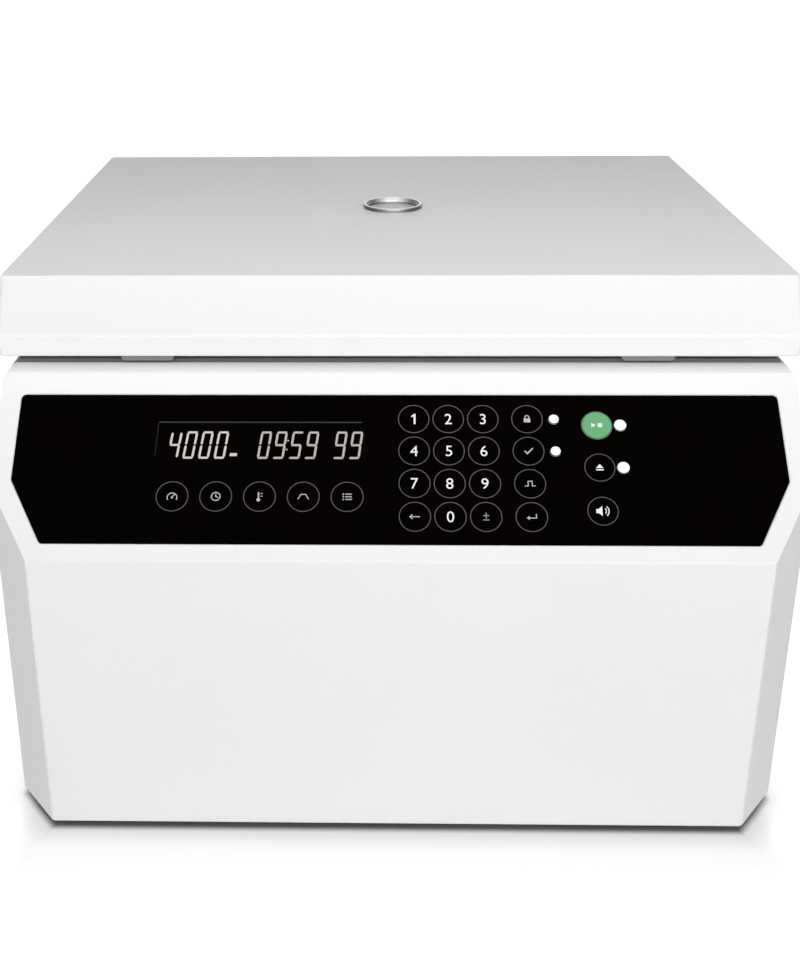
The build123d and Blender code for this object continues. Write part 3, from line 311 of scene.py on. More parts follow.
def powder_coat(name, colour, roughness=0.45, grain=0.9 * MM, strength=0.10):
    """Baked powder coat: fine orange peel and a faint unevenness of tone."""
    finish = Finish(name, colour, roughness, Specular_IOR_Level=0.35)
    cloud = finish.noise(70 * MM, 2.0)
    peel = finish.noise(grain, 3.0, 0.65)
    tone = finish.tint(cloud * 0.35 + peel * 0.65, 0.95, 1.045)
    return finish.vary(Base_Color=tone, Roughness=(cloud - 0.5) * 0.12 + roughness,
                       Normal=finish.bump(peel, strength, 0.05 * MM))


def lid_coat_with_painted_light(name, colour):
    """The lid's powder coat, with painted light that makes its lower band lighter."""
    finish = powder_coat(name, colour, 0.45, 1.0 * MM, 0.16)
    # Painted light: the lid's lower band is made lighter than the rest of the lid.
    band = finish.axis("Z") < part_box("lid_cover")[0].z + BAND_TALL
    peel = finish.noise(1.0 * MM, 3.0, 0.65)
    return finish.vary(Base_Color=finish.tint(peel * 0.6 + band * 0.45, 0.95, 1.10))


def moulding(name, colour, roughness=0.45, grain=0.6 * MM, strength=0.12, specular=0.4):
    """Moulded plastic with a spark-eroded skin."""
    finish = Finish(name, colour, roughness, Specular_IOR_Level=specular)
    skin = finish.noise(grain, 3.0, 0.6)
    cloud = finish.noise(45 * MM, 2.0)
    return finish.vary(Base_Color=finish.tint(cloud * 0.6 + skin * 0.4, 0.96, 1.04),
                       Roughness=(skin - 0.5) * 0.14 + roughness,
                       Normal=finish.bump(skin, strength, 0.04 * MM))


def rubber(name, colour, roughness=0.8):
    """Matt rubber with a dusty bloom."""
    finish = Finish(name, colour, roughness, Specular_IOR_Level=0.3)
    bloom = finish.noise(8 * MM, 4.0, 0.6)
    skin = finish.noise(0.6 * MM, 2.0)
    return finish.vary(Base_Color=finish.tint(bloom, 0.75, 1.35),
                       Roughness=(bloom - 0.5) * 0.2 + roughness,
                       Normal=finish.bump(skin, 0.3, 0.05 * MM))


def rolled_metal(name, colour, roughness=0.35, along=0):
    """Rolled or drawn metal with fine streaks along one axis."""
    finish = Finish(name, colour, roughness, 1.0)
    scale = [1.0, 1.0, 1.0]
    scale[along] = 0.03
    streak = finish.noise(0.8 * MM, 3.0, 0.6, finish.place(tuple(scale)))
    cloud = finish.noise(25 * MM, 3.0)
    return finish.vary(Base_Color=finish.tint(cloud, 0.9, 1.05),
                       Roughness=(streak - 0.5) * 0.25 + roughness,
                       Normal=finish.bump(streak, 0.12, 0.02 * MM))


def turned_metal(name, colour, roughness=0.3, pitch=0.5 * MM):
    """Spun or turned metal with fine rings about the chamber's axis."""
    finish = Finish(name, colour, roughness, 1.0)
    along = finish.node("ShaderNodeCombineXYZ", {}, {0: finish.radius(), 1: finish.axis("Z") * 0.6})
    groove = finish.noise(pitch, 3.0, 0.7, along)
    cloud = finish.noise(30 * MM, 3.0)
    return finish.vary(Base_Color=finish.tint(cloud, 0.92, 1.04),
                       Roughness=(groove - 0.5) * 0.28 + roughness,
                       Normal=finish.bump(groove, 0.12, 0.02 * MM))


def clear(name, colour, roughness=0.02, ior=1.46):
    """Clear glass or plastic with faint smears in its gloss."""
    finish = Finish(name, colour, roughness, IOR=ior, Transmission_Weight=1.0)
    smear = finish.noise(14 * MM, 3.0)
    return finish.vary(Roughness=(smear > 0.5) * (smear - 0.5) * 0.25 + roughness)


def film(name, colour, roughness=0.4, specular=0.005):
    """Printed black film with a very faint texture."""
    finish = Finish(name, colour, roughness, Specular_IOR_Level=specular)
    skin = finish.noise(0.5 * MM, 2.0)
    haze = finish.noise(30 * MM, 3.0)
    return finish.vary(Base_Color=finish.tint(haze, 0.7, 1.3), Roughness=(haze - 0.5) * 0.2 + roughness,
                       Normal=finish.bump(skin, 0.05, 0.01 * MM))


def glowing(name, colour, strength, blotch=6 * MM):
    """A lit surface, a little uneven in its glow."""
    finish = Finish(name, colour, 0.5, Specular_IOR_Level=0.1, Emission_Strength=strength)
    haze = finish.noise(blotch, 2.0)
    tone = finish.tint(haze, 0.9, 1.05)
    return finish.vary(Emission_Color=tone, Base_Color=finish.tint(haze, 0.3, 0.36),
                       Roughness=(haze - 0.5) * 0.1 + 0.5)


def circuit_board(name, colour):
    """Green board with copper lines under its lacquer."""
    finish = Finish(name, colour, 0.35, Specular_IOR_Level=0.5)
    inputs = {"Vector": finish.place((90.0, 90.0, 90.0)), "Scale": 2.0, "Mortar Size": 0.05}
    line = finish.node("ShaderNodeTexBrick", {}, inputs, output="Fac")
    copper = tuple(min(1.0, channel * 2.4) for channel in finish.colour)
    tone = finish.mix(line, (*finish.colour, 1.0), (*copper, 1.0))
    return finish.vary(Base_Color=tone, Normal=finish.bump(line, 0.3, 0.05 * MM))


def knobbed_cover(name):
    """Clear cover whose knob is dark and solid."""
    finish = clear(name, (0.96, 0.98, 1.0), 0.03, 1.49)
    knob = (finish.radius() < KNOB_RADIUS) * (finish.axis("Z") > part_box("rotor_lid")[1].z - KNOB_TALL)
    return finish.overlay(knob, (0.03, 0.03, 0.033), 0.4)


def bezel_with_painted_highlights(name):
    """Brushed bezel with painted highlights along its lip and at two opposite sectors, and painted shade on
    its walls, darkest on the outer wall.
    """
    finish = turned_metal(name, (0.9, 0.9, 0.9), 0.22, 0.3 * MM)
    sector_dark, sector_light = 13 * MM, 2 * MM
    outside, lip_inside, lip_tall = 17.85 * MM, 16.7 * MM, 0.2 * MM
    x = finish.axis("X")
    # Painted highlights at the front and rear sectors, fading out towards the sides.
    painted_sector_highlight = spread(x.unsigned(), sector_dark, sector_light)
    # Painted shade: the walls are dark, darkest on the outer wall, apart from the painted highlights.
    painted_wall_light_and_shade = painted_sector_highlight * (1.0 - (finish.radius() > outside) * 0.55) * 0.72 + 0.15
    lip_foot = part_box("lid_window_ring")[1].z - lip_tall
    # Painted highlight along the top of the lip.
    painted_lip_highlight = (finish.axis("Z") > lip_foot) * (finish.radius() > lip_inside) * 0.75
    return finish.vary(Base_Color=finish.tint(max_of(painted_wall_light_and_shade, painted_lip_highlight), 0.0, 1.0))


def window_pane(name):
    """Clear pane with painted shade towards its rim, where the dark barrel below shows."""
    finish = clear(name, (0.98, 1.0, 0.99))
    clear_radius, shaded_radius = 6 * MM, 12 * MM
    # Painted shade: the pane darkens from 6 to 12 mm out from the axis.
    painted_rim_shade = spread(finish.radius(), clear_radius, shaded_radius)
    return finish.vary(Base_Color=finish.tint(painted_rim_shade, 1.0, 0.3))


def inlet_plastic(name):
    """Black plastic, with bare metal on the mains inlet's blades."""
    finish = moulding(name, (0.02, 0.02, 0.021), 0.35)
    x, y, z = (finish.axis(letter) for letter in "XYZ")
    blades = []
    for right, rise in BLADE_PLACES:
        across = (x - (INLET_ROOT.x + right * MM)).unsigned() < BLADE_HALF[0]
        blades.append(across * ((z - (INLET_ROOT.z + rise * MM)).unsigned() < BLADE_HALF[1]))
    length = (y > INLET_ROOT.y) * (y < INLET_ROOT.y + BLADE_LONG)
    return finish.overlay(max_of(*blades) * length, (0.72, 0.71, 0.68), 0.3, 1.0)


def slide_glass(name):
    """Microscope slides with a frosted writing end."""
    finish = clear(name, (0.97, 1.0, 0.98), 0.02, 1.52)
    frosted = finish.axis("Z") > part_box("glass_slides")[1].z - FROSTED_END
    return finish.overlay(frosted, (0.85, 0.87, 0.86), 0.6)


def made_once(name, maker, *looks):
    """The material of a finish, made when it is first asked for."""
    if name in bpy.data.materials:
        return bpy.data.materials[name]
    return maker(name, *looks).material


def finish_of(slot):
    """The finish of one of the record's material slots."""
    paint = bpy.context.scene.cyto_paint
    recipes = {
        "white_paint": (powder_coat, paint.casing),
        "white_moulding": (powder_coat, paint.casing, 0.4, 1.1 * MM, 0.07),
        "lid_paint": (lid_coat_with_painted_light, paint.lid),
        "back_paint": (powder_coat, (0.55, 0.56, 0.57), 0.5, 0.7 * MM, 0.2),
        "dark_deck": (moulding, paint.deck, 0.5, 0.8 * MM, 0.25),
        "liner_grey": (moulding, (0.36, 0.37, 0.38), 0.45, 0.8 * MM, 0.18),
        "guard_grey": (moulding, paint.guard, 0.5),
        "inlet_black": (inlet_plastic,),
        "rocker_black": (moulding, (0.015, 0.015, 0.016), 0.25),
        "funnel_white": (moulding, (0.78, 0.78, 0.75), 0.35),
        "black_overlay": (film, paint.overlay),
        "key_black": (film, paint.overlay, 0.45),
        "display_pane": (film, paint.overlay, 0.15),
        "key_green": (moulding, paint.start, 0.5, 0.5 * MM, 0.05, 0.2),
        "lamp_white": (glowing, (0.95, 0.95, 0.95), 0.75),
        "board_green": (circuit_board, (0.02, 0.12, 0.05)),
        "grey_rubber": (rubber, (0.10, 0.10, 0.105)),
        "black_rubber": (rubber, (0.022, 0.022, 0.022)),
        "pan_steel": (rolled_metal, (0.62, 0.63, 0.64), 0.42),
        "bracket_steel": (rolled_metal, (0.58, 0.58, 0.59)),
        "pin_steel": (rolled_metal, (0.7, 0.7, 0.7), 0.2),
        "clip_steel": (rolled_metal, (0.66, 0.66, 0.67), 0.25, 2),
        "motor_cast": (rolled_metal, (0.34, 0.34, 0.35), 0.5, 2),
        "bowl_steel": (turned_metal, (0.66, 0.66, 0.67), 0.24, 0.9 * MM),
        "rotor_alloy": (turned_metal, (0.56, 0.57, 0.59), 0.33),
        "window_ring": (bezel_with_painted_highlights,),
        "window_glass": (window_pane,),
        "slide_glass": (slide_glass,),
        "clear_cover": (knobbed_cover,),
    }
    return made_once("finish_" + slot, *recipes[slot])


def printed(name, colour):
    """An ink that no slot holds."""
    return made_once(name, moulding, colour, 0.5, 0.4 * MM, 0.02, 0.1)


# ---- Piece building ----

def dress(*nodes):
    """Gives carried-over nodes the finish of their slot."""
    for node in nodes:
        mesh = frame["nodes"][node].data
        mesh.materials.clear()
        mesh.materials.append(finish_of(SLOT_OF[node]))


def mesh_of(work, name):
    """Turns a working mesh into a lasting one."""
    mesh = bpy.data.meshes.new(name)
    work.to_mesh(mesh)
    work.free()
    return mesh


def piece_from(name, work, body, slot, *finishes):
    """A new piece from a working mesh, which rides a body and has a slot's finish or its own."""
    piece = bpy.data.objects.new(name, mesh_of(work, name))
    bpy.context.scene.collection.objects.link(piece)
    for finish in finishes or (finish_of(slot),):
        piece.data.materials.append(finish)
    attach(piece, body)
    return piece


def shell(node, width=0.0, angle=28.0, creases=()):
    """Stands for a node: its flats stay flat, its curves are smooth and hard edges may get a rounding.

    Level edges at the heights in creases stay crisp.
    """
    work = bmesh.new()
    work.from_mesh(frame["nodes"][node].data)
    bmesh.ops.remove_doubles(work, verts=work.verts, dist=0.002 * MM)
    bmesh.ops.dissolve_limit(work, angle_limit=radians(0.4), verts=work.verts, edges=work.edges)
    for face in work.faces:
        face.smooth = True
    for edge in work.edges:
        heights = [vertex.co.z for vertex in edge.verts]
        level = any(max(abs(height - crease) for height in heights) < 0.05 * MM for crease in creases)
        hard = width == 0.0 and edge.calc_face_angle(0.0) > radians(angle)
        edge.smooth = not (level or hard)
    piece = piece_from(node + "_shell", work, BODY_OF[node], SLOT_OF[node])
    if width > 0.0:
        edges = piece.modifiers.new("Rounded edges", "BEVEL")
        edges.width = width
        edges.segments = 3
        edges.limit_method = "ANGLE"
        edges.angle_limit = radians(angle)
        edges.use_clamp_overlap = False
        edges.miter_outer = "MITER_ARC"
    flats = piece.modifiers.new("Flat faces", "WEIGHTED_NORMAL")
    flats.keep_sharp = True
    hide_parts(node)


def on_panel(x, up, out=0.0):
    """Point on the sloping panel: across, up its slope and out of its face."""
    return PANEL_FOOT + Vector((x, up * cos(PANEL_SLOPE) - out * sin(PANEL_SLOPE),
                                up * sin(PANEL_SLOPE) + out * cos(PANEL_SLOPE)))


def placer(centre, normal, across):
    """Function that puts flat shapes on a plane, around a centre."""
    out_way = Vector(normal)
    along = Vector(across)
    up_way = out_way.cross(along)

    def place(x, y, out):
        return centre + x * along + y * up_way + out * out_way

    return place


def panel_place(point):
    """The reverse: where a point lies on the panel."""
    x, y, z = point - PANEL_FOOT
    return Vector((x, y * cos(PANEL_SLOPE) + z * sin(PANEL_SLOPE),
                   z * cos(PANEL_SLOPE) - y * sin(PANEL_SLOPE)))


def corners_of(node):
    """Corners of a panel piece: across, up the slope and out."""
    return [panel_place(vertex.co) for vertex in frame["nodes"][node].data.vertices]


def outer_face(node):
    """Corners of a panel piece's outer face."""
    places = corners_of(node)
    out = max(place.z for place in places)
    return [place for place in places if place.z > out - 0.02 * MM]


def span(places):
    """Lowest and highest corner of some points."""
    return tuple(Vector([pick(place[i] for place in places) for i in range(3)]) for pick in (min, max))


def face_of(node):
    """Centre of a panel piece's outer face, and half its width."""
    low, high = span(outer_face(node))
    return Vector((*(low.xy + high.xy) / 2, high.z)), (high.x - low.x) / 2


def around(centre, scale=1.0):
    """Function that puts flat shapes on the panel, around a centre."""
    def place(x, y, out):
        return on_panel(centre.x + x * scale, centre.y + y * scale, centre.z + out)

    return place


def add_sheet(work, corners, faces, place, tone=0):
    """Adds a thin printed shape: both its sides, and walls along the edges that only one face has."""
    low, high = ([work.verts.new(place(x, y, out)) for x, y in corners] for out in (0.0, PRINT_SHEET))
    made = []
    walls = {}
    for face in faces:
        made.append(work.faces.new([high[i] for i in face]))
        made.append(work.faces.new([low[i] for i in reversed(face)]))
        for edge in zip(face, (*face[1:], face[0])):
            if walls.pop(tuple(sorted(edge)), None) is None:
                walls[tuple(sorted(edge))] = edge
    for a, b in walls.values():
        made.append(work.faces.new((low[a], low[b], high[b], high[a])))
    for face in made:
        face.material_index = tone
    bmesh.ops.recalc_face_normals(work, faces=made)


def inlay(work, loops, place, tone=0):
    """Adds a thin printed shape from its outline and any holes."""
    flat = [[Vector((x, y, 0.0)) for x, y in loop] for loop in loops]
    corners = [corner for loop in loops for corner in loop]
    add_sheet(work, corners, tessellate_polygon(flat), place, tone)


# ---- Flat shapes ----

def arc(x, y, radius, start=0.0, end=360.0, steps=48):
    """Points of an arc, in degrees; a full circle leaves out its last point."""
    count = steps if abs(end - start) < 360 else steps - 1
    turns = [radians(start + (end - start) * i / steps) for i in range(count + 1)]
    return [(x + radius * cos(turn), y + radius * sin(turn)) for turn in turns]


def ring(outer, width):
    """Printed ring round the middle."""
    return [arc(0, 0, outer), arc(0, 0, outer - width)]


def ribbon(points, width):
    """Line of a given width along open points, mitred at its bends."""
    spots = [Vector(point) for point in points]
    runs = [(b - a).normalized() for a, b in zip(spots, spots[1:])]
    left, right = [], []
    for i, spot in enumerate(spots):
        before = runs[max(0, i - 1)]
        after = runs[min(i, len(runs) - 1)]
        along = (before + after).normalized()
        side = Vector((-along.y, along.x)) * (width / 2 / max(0.3, along.dot(after)))
        left.append(tuple(spot + side))
        right.append(tuple(spot - side))
    return [left + right[::-1]]


def bar(x0, y0, x1, y1):
    """Upright rectangle."""
    return [[(x0, y0), (x1, y0), (x1, y1), (x0, y1)]]


def key_signs(line):
    """Generic signs of the keys that carry no digit, in millimetres round their middle."""
    plus = [(-line / 2, -1.1), (line / 2, -1.1), (line / 2, 0.55), (1.9, 0.55), (1.9, 0.55 + line),
            (line / 2, 0.55 + line), (line / 2, 2.8), (-line / 2, 2.8), (-line / 2, 0.55 + line),
            (-1.9, 0.55 + line), (-1.9, 0.55), (-line / 2, 0.55)]
    return {
        "key_back": [ribbon([(-2.5, 0), (3.1, 0)], line),
                     ribbon([(-1.5, 1.6), (-3.1, 0), (-1.5, -1.6)], line)],
        "key_sign": [[plus], bar(-1.9, -2.4, 1.9, -2.4 + line)],
        "key_lock": [bar(-2.1, -2.3, 2.1, 0.5),
                     ribbon([(-1.3, 0.5), *arc(0, 1.3, 1.3, 180, 0, 12), (1.3, 0.5)], line)],
        "key_at_speed": [ribbon([(-2.6, 0.2), (-0.8, -1.8), (2.8, 2.2)], line * 1.3)],
        "key_pulse": [ribbon([(-3.4, -1.5), (-1.3, -1.5), (-1.3, 1.7), (1.3, 1.7), (1.3, -1.5),
                              (3.4, -1.5)], line)],
        "key_enter": [ribbon([(2.9, 2.0), (2.9, -0.7), (-1.4, -0.7)], line),
                      [[(-1.4, -2.1), (-1.4, 0.7), (-3.3, -0.7)]]],
        "key_speed": [ribbon(arc(0, -0.8, 3.1, 210, -30, 24), line),
                      ribbon([(0.35, -0.2), (1.5, 1.5)], line),
                      [arc(0, -0.8, 0.7, steps=16)]],
        "key_time": [ring(3.1, line), ribbon([(0, 2.0), (0, 0), (1.6, -0.7)], line)],
        "key_temp": [[arc(-0.6, -2.2, 1.2, 65, 375, 20)], bar(-1.05, -1.0, -0.15, 3.0),
                     bar(0.7, 0.0, 2.0, line * 0.8), bar(0.7, 1.9, 2.0, 1.9 + line * 0.8)],
        "key_ramp": [ribbon([(-3.4, -1.7), (-1.5, 1.6), (1.5, 1.6), (3.4, -1.7)], line)],
        "key_program": [shape for y in (-2.1, -0.3, 1.5)
                        for shape in ([arc(-2.5, y + line / 2, 0.5, steps=12)],
                                      bar(-1.3, y, 3.0, y + line))],
        "key_start_stop": [[[(-3.5, -1.7), (-3.5, 1.7), (-0.7, 0.0)]], bar(0.6, -1.4, 3.4, 1.4)],
        "key_open": [[[(-2.4, -0.3), (2.4, -0.3), (0.0, 2.4)]], bar(-2.4, -2.0, 2.4, -1.1)],
        "key_sound": [[[(-4.2, -1.4), (-2.6, -1.4), (-0.3, -3.4), (-0.3, 3.4), (-2.6, 1.4),
                        (-4.2, 1.4)]],
                      ribbon(arc(-0.4, 0, 2.5, -42, 42, 12), line),
                      ribbon(arc(-0.4, 0, 4.2, -48, 48, 16), line * 1.1)],
    }


def one_outline(tall):
    """Outline of a plain bold 1 with its flag, centred."""
    top, right, left, stem = tall / 2, 0.16 * tall, -0.2 * tall, 0.165 * tall
    return [[(right, -top), (right, top), (right - 0.12 * tall, top), (left, top - 0.2 * tall),
             (left, top - 0.34 * tall), (right - stem, top - 0.22 * tall), (right - stem, -top)]]


def add_digit(work, digit, tall, place):
    """Adds a printed bold digit, centred; the 1 has its own outline, which shows its flag."""
    if digit == "1":
        inlay(work, one_outline(tall), place)
        return
    text = bpy.data.curves.new("digit", "FONT")
    text.body = digit
    text.resolution_u = 6
    holder = bpy.data.objects.new("digit", text)
    bpy.context.scene.collection.objects.link(holder)
    mesh = bpy.data.meshes.new_from_object(holder)
    bpy.data.objects.remove(holder)
    bpy.data.curves.remove(text)
    low, high = span([vertex.co for vertex in mesh.vertices])
    middle = (low + high) / 2
    mesh.transform(Matrix.Scale(tall / (high.y - low.y), 4) @ Matrix.Translation(-middle))
    faces = [tuple(polygon.vertices) for polygon in mesh.polygons]
    add_sheet(work, [vertex.co.xy for vertex in mesh.vertices], faces, place)
    bpy.data.meshes.remove(mesh)


# ---- Screws ----

def add_screw(work, centre, direction, radius):
    """Adds a pan-head screw with a hexagon socket, its seat at the centre."""
    tall = 0.62 * radius
    turn = Vector((0, 0, 1)).rotation_difference(Vector(direction)).to_matrix()
    centre = Vector(centre)
    steps = 24

    def row(reach, height, hexagon=False):
        points = []
        for i in range(steps):
            angle = 2 * pi * i / steps
            share = cos(pi / 6) / cos((angle % (pi / 3)) - pi / 6) if hexagon else 1.0
            spot = Vector((reach * share * cos(angle), reach * share * sin(angle), height))
            points.append(work.verts.new(centre + turn @ spot))
        return points

    rows = [row(radius, 0.0), row(radius, 0.35 * tall), row(0.93 * radius, 0.62 * tall),
            row(0.78 * radius, 0.86 * tall), row(0.58 * radius, tall),
            row(0.50 * radius, 0.97 * tall, True), row(0.46 * radius, 0.35 * tall, True)]
    made = [work.faces.new(rows[0][::-1]), work.faces.new(rows[-1])]
    for low, high in zip(rows, rows[1:]):
        for i in range(steps):
            j = (i + 1) % steps
            made.append(work.faces.new((low[i], low[j], high[j], high[i])))
    bmesh.ops.recalc_face_normals(work, faces=made)


def screws(name, body, places, direction, radius):
    """A group of like steel screws."""
    work = bmesh.new()
    for place in places:
        add_screw(work, place, direction, radius)
    piece = piece_from(name, work, body, "bracket_steel")
    piece.data.shade_smooth()
    piece.data.set_sharp_from_angle(angle=radians(35))


# ---- Operators: one for each piece or group of like pieces ----

class CYTO_OT_casing(bpy.types.Operator):
    """Dresses the casing, its front cover, base tray and feet"""
    bl_idname = "cyto.casing"
    bl_label = "Casing"

    def execute(self, context):
        shell("front_cover", angle=35.0)
        shell("housing", angle=35.0)
        dress("base_pan", "rubber_feet")
        return {"FINISHED"}


class CYTO_OT_deck(bpy.types.Operator):
    """Dresses the deck and its screws"""
    bl_idname = "cyto.deck"
    bl_label = "Deck"

    def execute(self, context):
        shell("top_deck", context.scene.cyto_detail.deck_edge, 40.0)
        low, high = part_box("top_deck")
        inset = 9 * MM
        from_end = 30 * MM
        places = [(x, y, high.z) for x in (low.x + inset, high.x - inset)
                  for y in (low.y + from_end, AXIS.y, high.y - from_end)]
        screws("deck_screws", "base", places, (0, 0, 1), context.scene.cyto_detail.small_screw)
        return {"FINISHED"}


class CYTO_OT_lid(bpy.types.Operator):
    """Dresses the lid, its liner, window, guards and strikers"""
    bl_idname = "cyto.lid"
    bl_label = "Lid"

    def execute(self, context):
        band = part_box("lid_cover")[0].z + BAND_TALL
        shell("lid_cover", angle=35.0, creases=(band, band + STEP_RISE))
        shell("latch_guards", 0.5 * MM)
        shell("lid_window_ring", 0.2 * MM)
        dress("lid_liner", "lid_window", "latch_strikers")
        low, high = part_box("lid_liner")
        inset = 12 * MM
        across = (low.x + inset, (low.x + high.x) / 2, high.x - inset)
        places = [(x, y, low.z) for x in across for y in (low.y + inset, high.y - inset)]
        screws("liner_screws", "lid", places, (0, 0, -1), context.scene.cyto_detail.small_screw)
        return {"FINISHED"}


class CYTO_OT_panel(bpy.types.Operator):
    """Dresses the control overlay, its boards and its lamps"""
    bl_idname = "cyto.panel"
    bl_label = "Control panel"

    def execute(self, context):
        dress("control_overlay", "circuit_boards", "status_lamps", *KEYS)
        work = bmesh.new()
        small_lamp, gap = 3.1 * MM, 0.1 * MM
        for centre, reach in self.lamps():
            border = 0.4 * MM if reach < small_lamp else 0.25 * MM
            inlay(work, ring(reach + gap, border + gap), around(centre))
        piece_from("lamp_borders", work, "base", "black_overlay")
        return {"FINISHED"}

    def lamps(self):
        """Centre and half width of each lamp's face, told apart by the gaps between them."""
        groups = []
        apart = 10 * MM
        for place in outer_face("status_lamps"):
            near = [group for group in groups if (group[0].xy - place.xy).length < apart]
            if near:
                near[0].append(place)
            else:
                groups.append([place])
        return [((low + high) / 2, (high.x - low.x) / 2) for low, high in map(span, groups)]


INKS = ("white", "pale", "grey", "ring")
SIGN_INKS = {"key_start_stop": "white", "key_sound": "white", "key_open": "white", "key_sign": "grey"}


class CYTO_OT_key_print(bpy.types.Operator):
    """Prints each key's ring with its digit or sign"""
    bl_idname = "cyto.key_print"
    bl_label = "Key print"

    def execute(self, context):
        paint = context.scene.cyto_paint
        detail = context.scene.cyto_detail
        signs = key_signs(detail.sign_line / detail.sign_scale / MM)
        inks = [printed("ink_" + name, getattr(paint, name)) for name in INKS]
        for node in KEYS:
            centre, reach = face_of(node)
            work = bmesh.new()
            inlay(work, ring(reach, detail.ring_width), around(centre), INKS.index("ring"))
            digit = node[len("key_"):]
            if digit.isdigit():
                add_digit(work, digit, detail.digit_height, around(centre))
            else:
                tone = INKS.index(SIGN_INKS.get(node, "pale"))
                for loops in signs[node]:
                    inlay(work, loops, around(centre, detail.sign_scale * MM), tone)
            piece_from(node + "_print", work, node, SLOT_OF[node], *inks)
        return {"FINISHED"}


LIT = {"0": "abcdef", "1": "bc", "2": "abged", "3": "abgcd", "4": "fgbc", "5": "afgcd", "6": "afgedc",
       "7": "abc", "8": "abcdefg", "9": "abcdfg"}       # lit segments of each digit
READINGS = (("speed", "4000", 6.4, 0.47), ("minutes", "09", 52.8, 0.29), ("seconds", "59", 69.1, 0.29),
            ("temperature", "99", 91.8, 0.28))          # digits, millimetres from the left, glow


def segment_shapes(digit, wide, tall, line):
    """Outlines of a digit's lit segments, its lower left corner at zero."""
    gap = 0.17 * line
    half = line / 2
    middle = tall / 2

    def across(y):
        return [(half + gap, y - half), (wide - half - gap, y - half), (wide - gap, y),
                (wide - half - gap, y + half), (half + gap, y + half), (gap, y)]

    def upright(x, y0, y1):
        return [(x, y0 + gap), (x + half, y0 + half + gap), (x + half, y1 - half - gap), (x, y1 - gap),
                (x - half, y1 - half - gap), (x - half, y0 + half + gap)]

    shapes = {
        "a": across(tall - half), "g": across(middle), "d": across(half),
        "f": upright(half, middle, tall - half), "b": upright(wide - half, middle, tall - half),
        "e": upright(half, half, middle), "c": upright(wide - half, half, middle),
    }
    return [shapes[name] for name in LIT[digit]]


class CYTO_OT_display(bpy.types.Operator):
    """Lights the display's digits and draws the edges of its window"""
    bl_idname = "cyto.display"
    bl_label = "Display"

    def execute(self, context):
        dress("display_window")
        paint = context.scene.cyto_paint
        detail = context.scene.cyto_detail
        self.edges()
        centre, reach = face_of("display_window")
        tall = detail.segment_tall
        drop, slant = 2.9 * MM, 0.13
        foot = centre.y - tall / 2 - drop
        for name, reading, start, strength in READINGS:
            left = centre.x - reach + start * MM
            work = bmesh.new()

            def place(x, y, out):
                return on_panel(left + x + slant * y, foot + y, centre.z + out)

            for index, digit in enumerate(reading):
                for outline in segment_shapes(digit, detail.segment_wide, tall, detail.segment_line):
                    inlay(work, [[(x + index * detail.segment_pitch, y) for x, y in outline]], place)
            if name == "speed":
                end = len(reading) * detail.segment_pitch
                inlay(work, bar(end, 1.5 * MM, end + 3.7 * MM, 3.2 * MM), place)
            if name == "seconds":
                colon, half_dot = -1.7 * MM, 0.4 * MM
                for y in (0.34 * tall, 0.66 * tall):
                    inlay(work, bar(colon - half_dot, y - half_dot, colon + half_dot, y + half_dot), place)
            glow = glowing("glow_" + name, paint.glow, strength, 3 * MM).material
            piece_from("display_" + name, work, "base", "display_pane", glow)
        return {"FINISHED"}

    def edges(self):
        """Grey lines where the cell's edge shows along the pane's top and left."""
        low, high = span(corners_of("display_window"))
        work = bmesh.new()
        place = around(Vector((low.x, 0.0, high.z)))
        inset, under, line, thin = 1.2 * MM, 0.3 * MM, 0.7 * MM, 0.25 * MM
        inlay(work, bar(inset, high.y - line - under, high.x - low.x - inset, high.y - under), place)
        side = [(0.4 * MM, low.y + 1.5 * MM), (inset, high.y - inset)]
        inlay(work, ribbon(side, thin), place, 1)
        inks = [printed("cell_edge", (0.032, 0.033, 0.034)), printed("cell_side", (0.02, 0.02, 0.021))]
        piece_from("display_edges", work, "base", "display_pane", *inks)


class CYTO_OT_chamber(bpy.types.Operator):
    """Dresses the chamber, its gasket, motor, mounts and spindle"""
    bl_idname = "cyto.chamber"
    bl_label = "Chamber and drive"

    def execute(self, context):
        dress("chamber_bowl", "chamber_gasket", "motor", "motor_plate", "vibration_mounts", "drive_shaft")
        return {"FINISHED"}


class CYTO_OT_rotor(bpy.types.Operator):
    """Dresses the rotor, its cover, holders, slides and funnels, and numbers its stations"""
    bl_idname = "cyto.rotor"
    bl_label = "Rotor"

    def execute(self, context):
        dress("rotor_head", "rotor_lid", "slide_clips", "glass_slides", "sample_funnels")
        work = bmesh.new()
        middle = Vector((AXIS.x, AXIS.y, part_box("rotor_head")[0].z + ROTOR_FLOOR))
        for index in range(STATIONS):
            turn = 2 * pi * (index + 0.5) / STATIONS
            outward = Vector((cos(turn), sin(turn), 0.0))
            place = placer(middle + NUMBER_CIRCLE * outward, (0, 0, 1), (outward.y, -outward.x, 0))
            add_digit(work, str(index + 1), NUMBER_TALL, place)
        ink = printed("station_ink", (0.02, 0.02, 0.02))
        piece_from("station_numbers", work, BODY_OF["rotor_head"], "rotor_alloy", ink)
        return {"FINISHED"}


class CYTO_OT_hinges_and_lock(bpy.types.Operator):
    """Dresses the hinges and the lid lock"""
    bl_idname = "cyto.hinges_and_lock"
    bl_label = "Hinges and lock"

    def execute(self, context):
        dress("hinge_arms", "hinge_brackets", "hinge_pins", "latch_frames", "lock_gearbox", "lock_hooks",
              "lock_shaft")
        return {"FINISHED"}


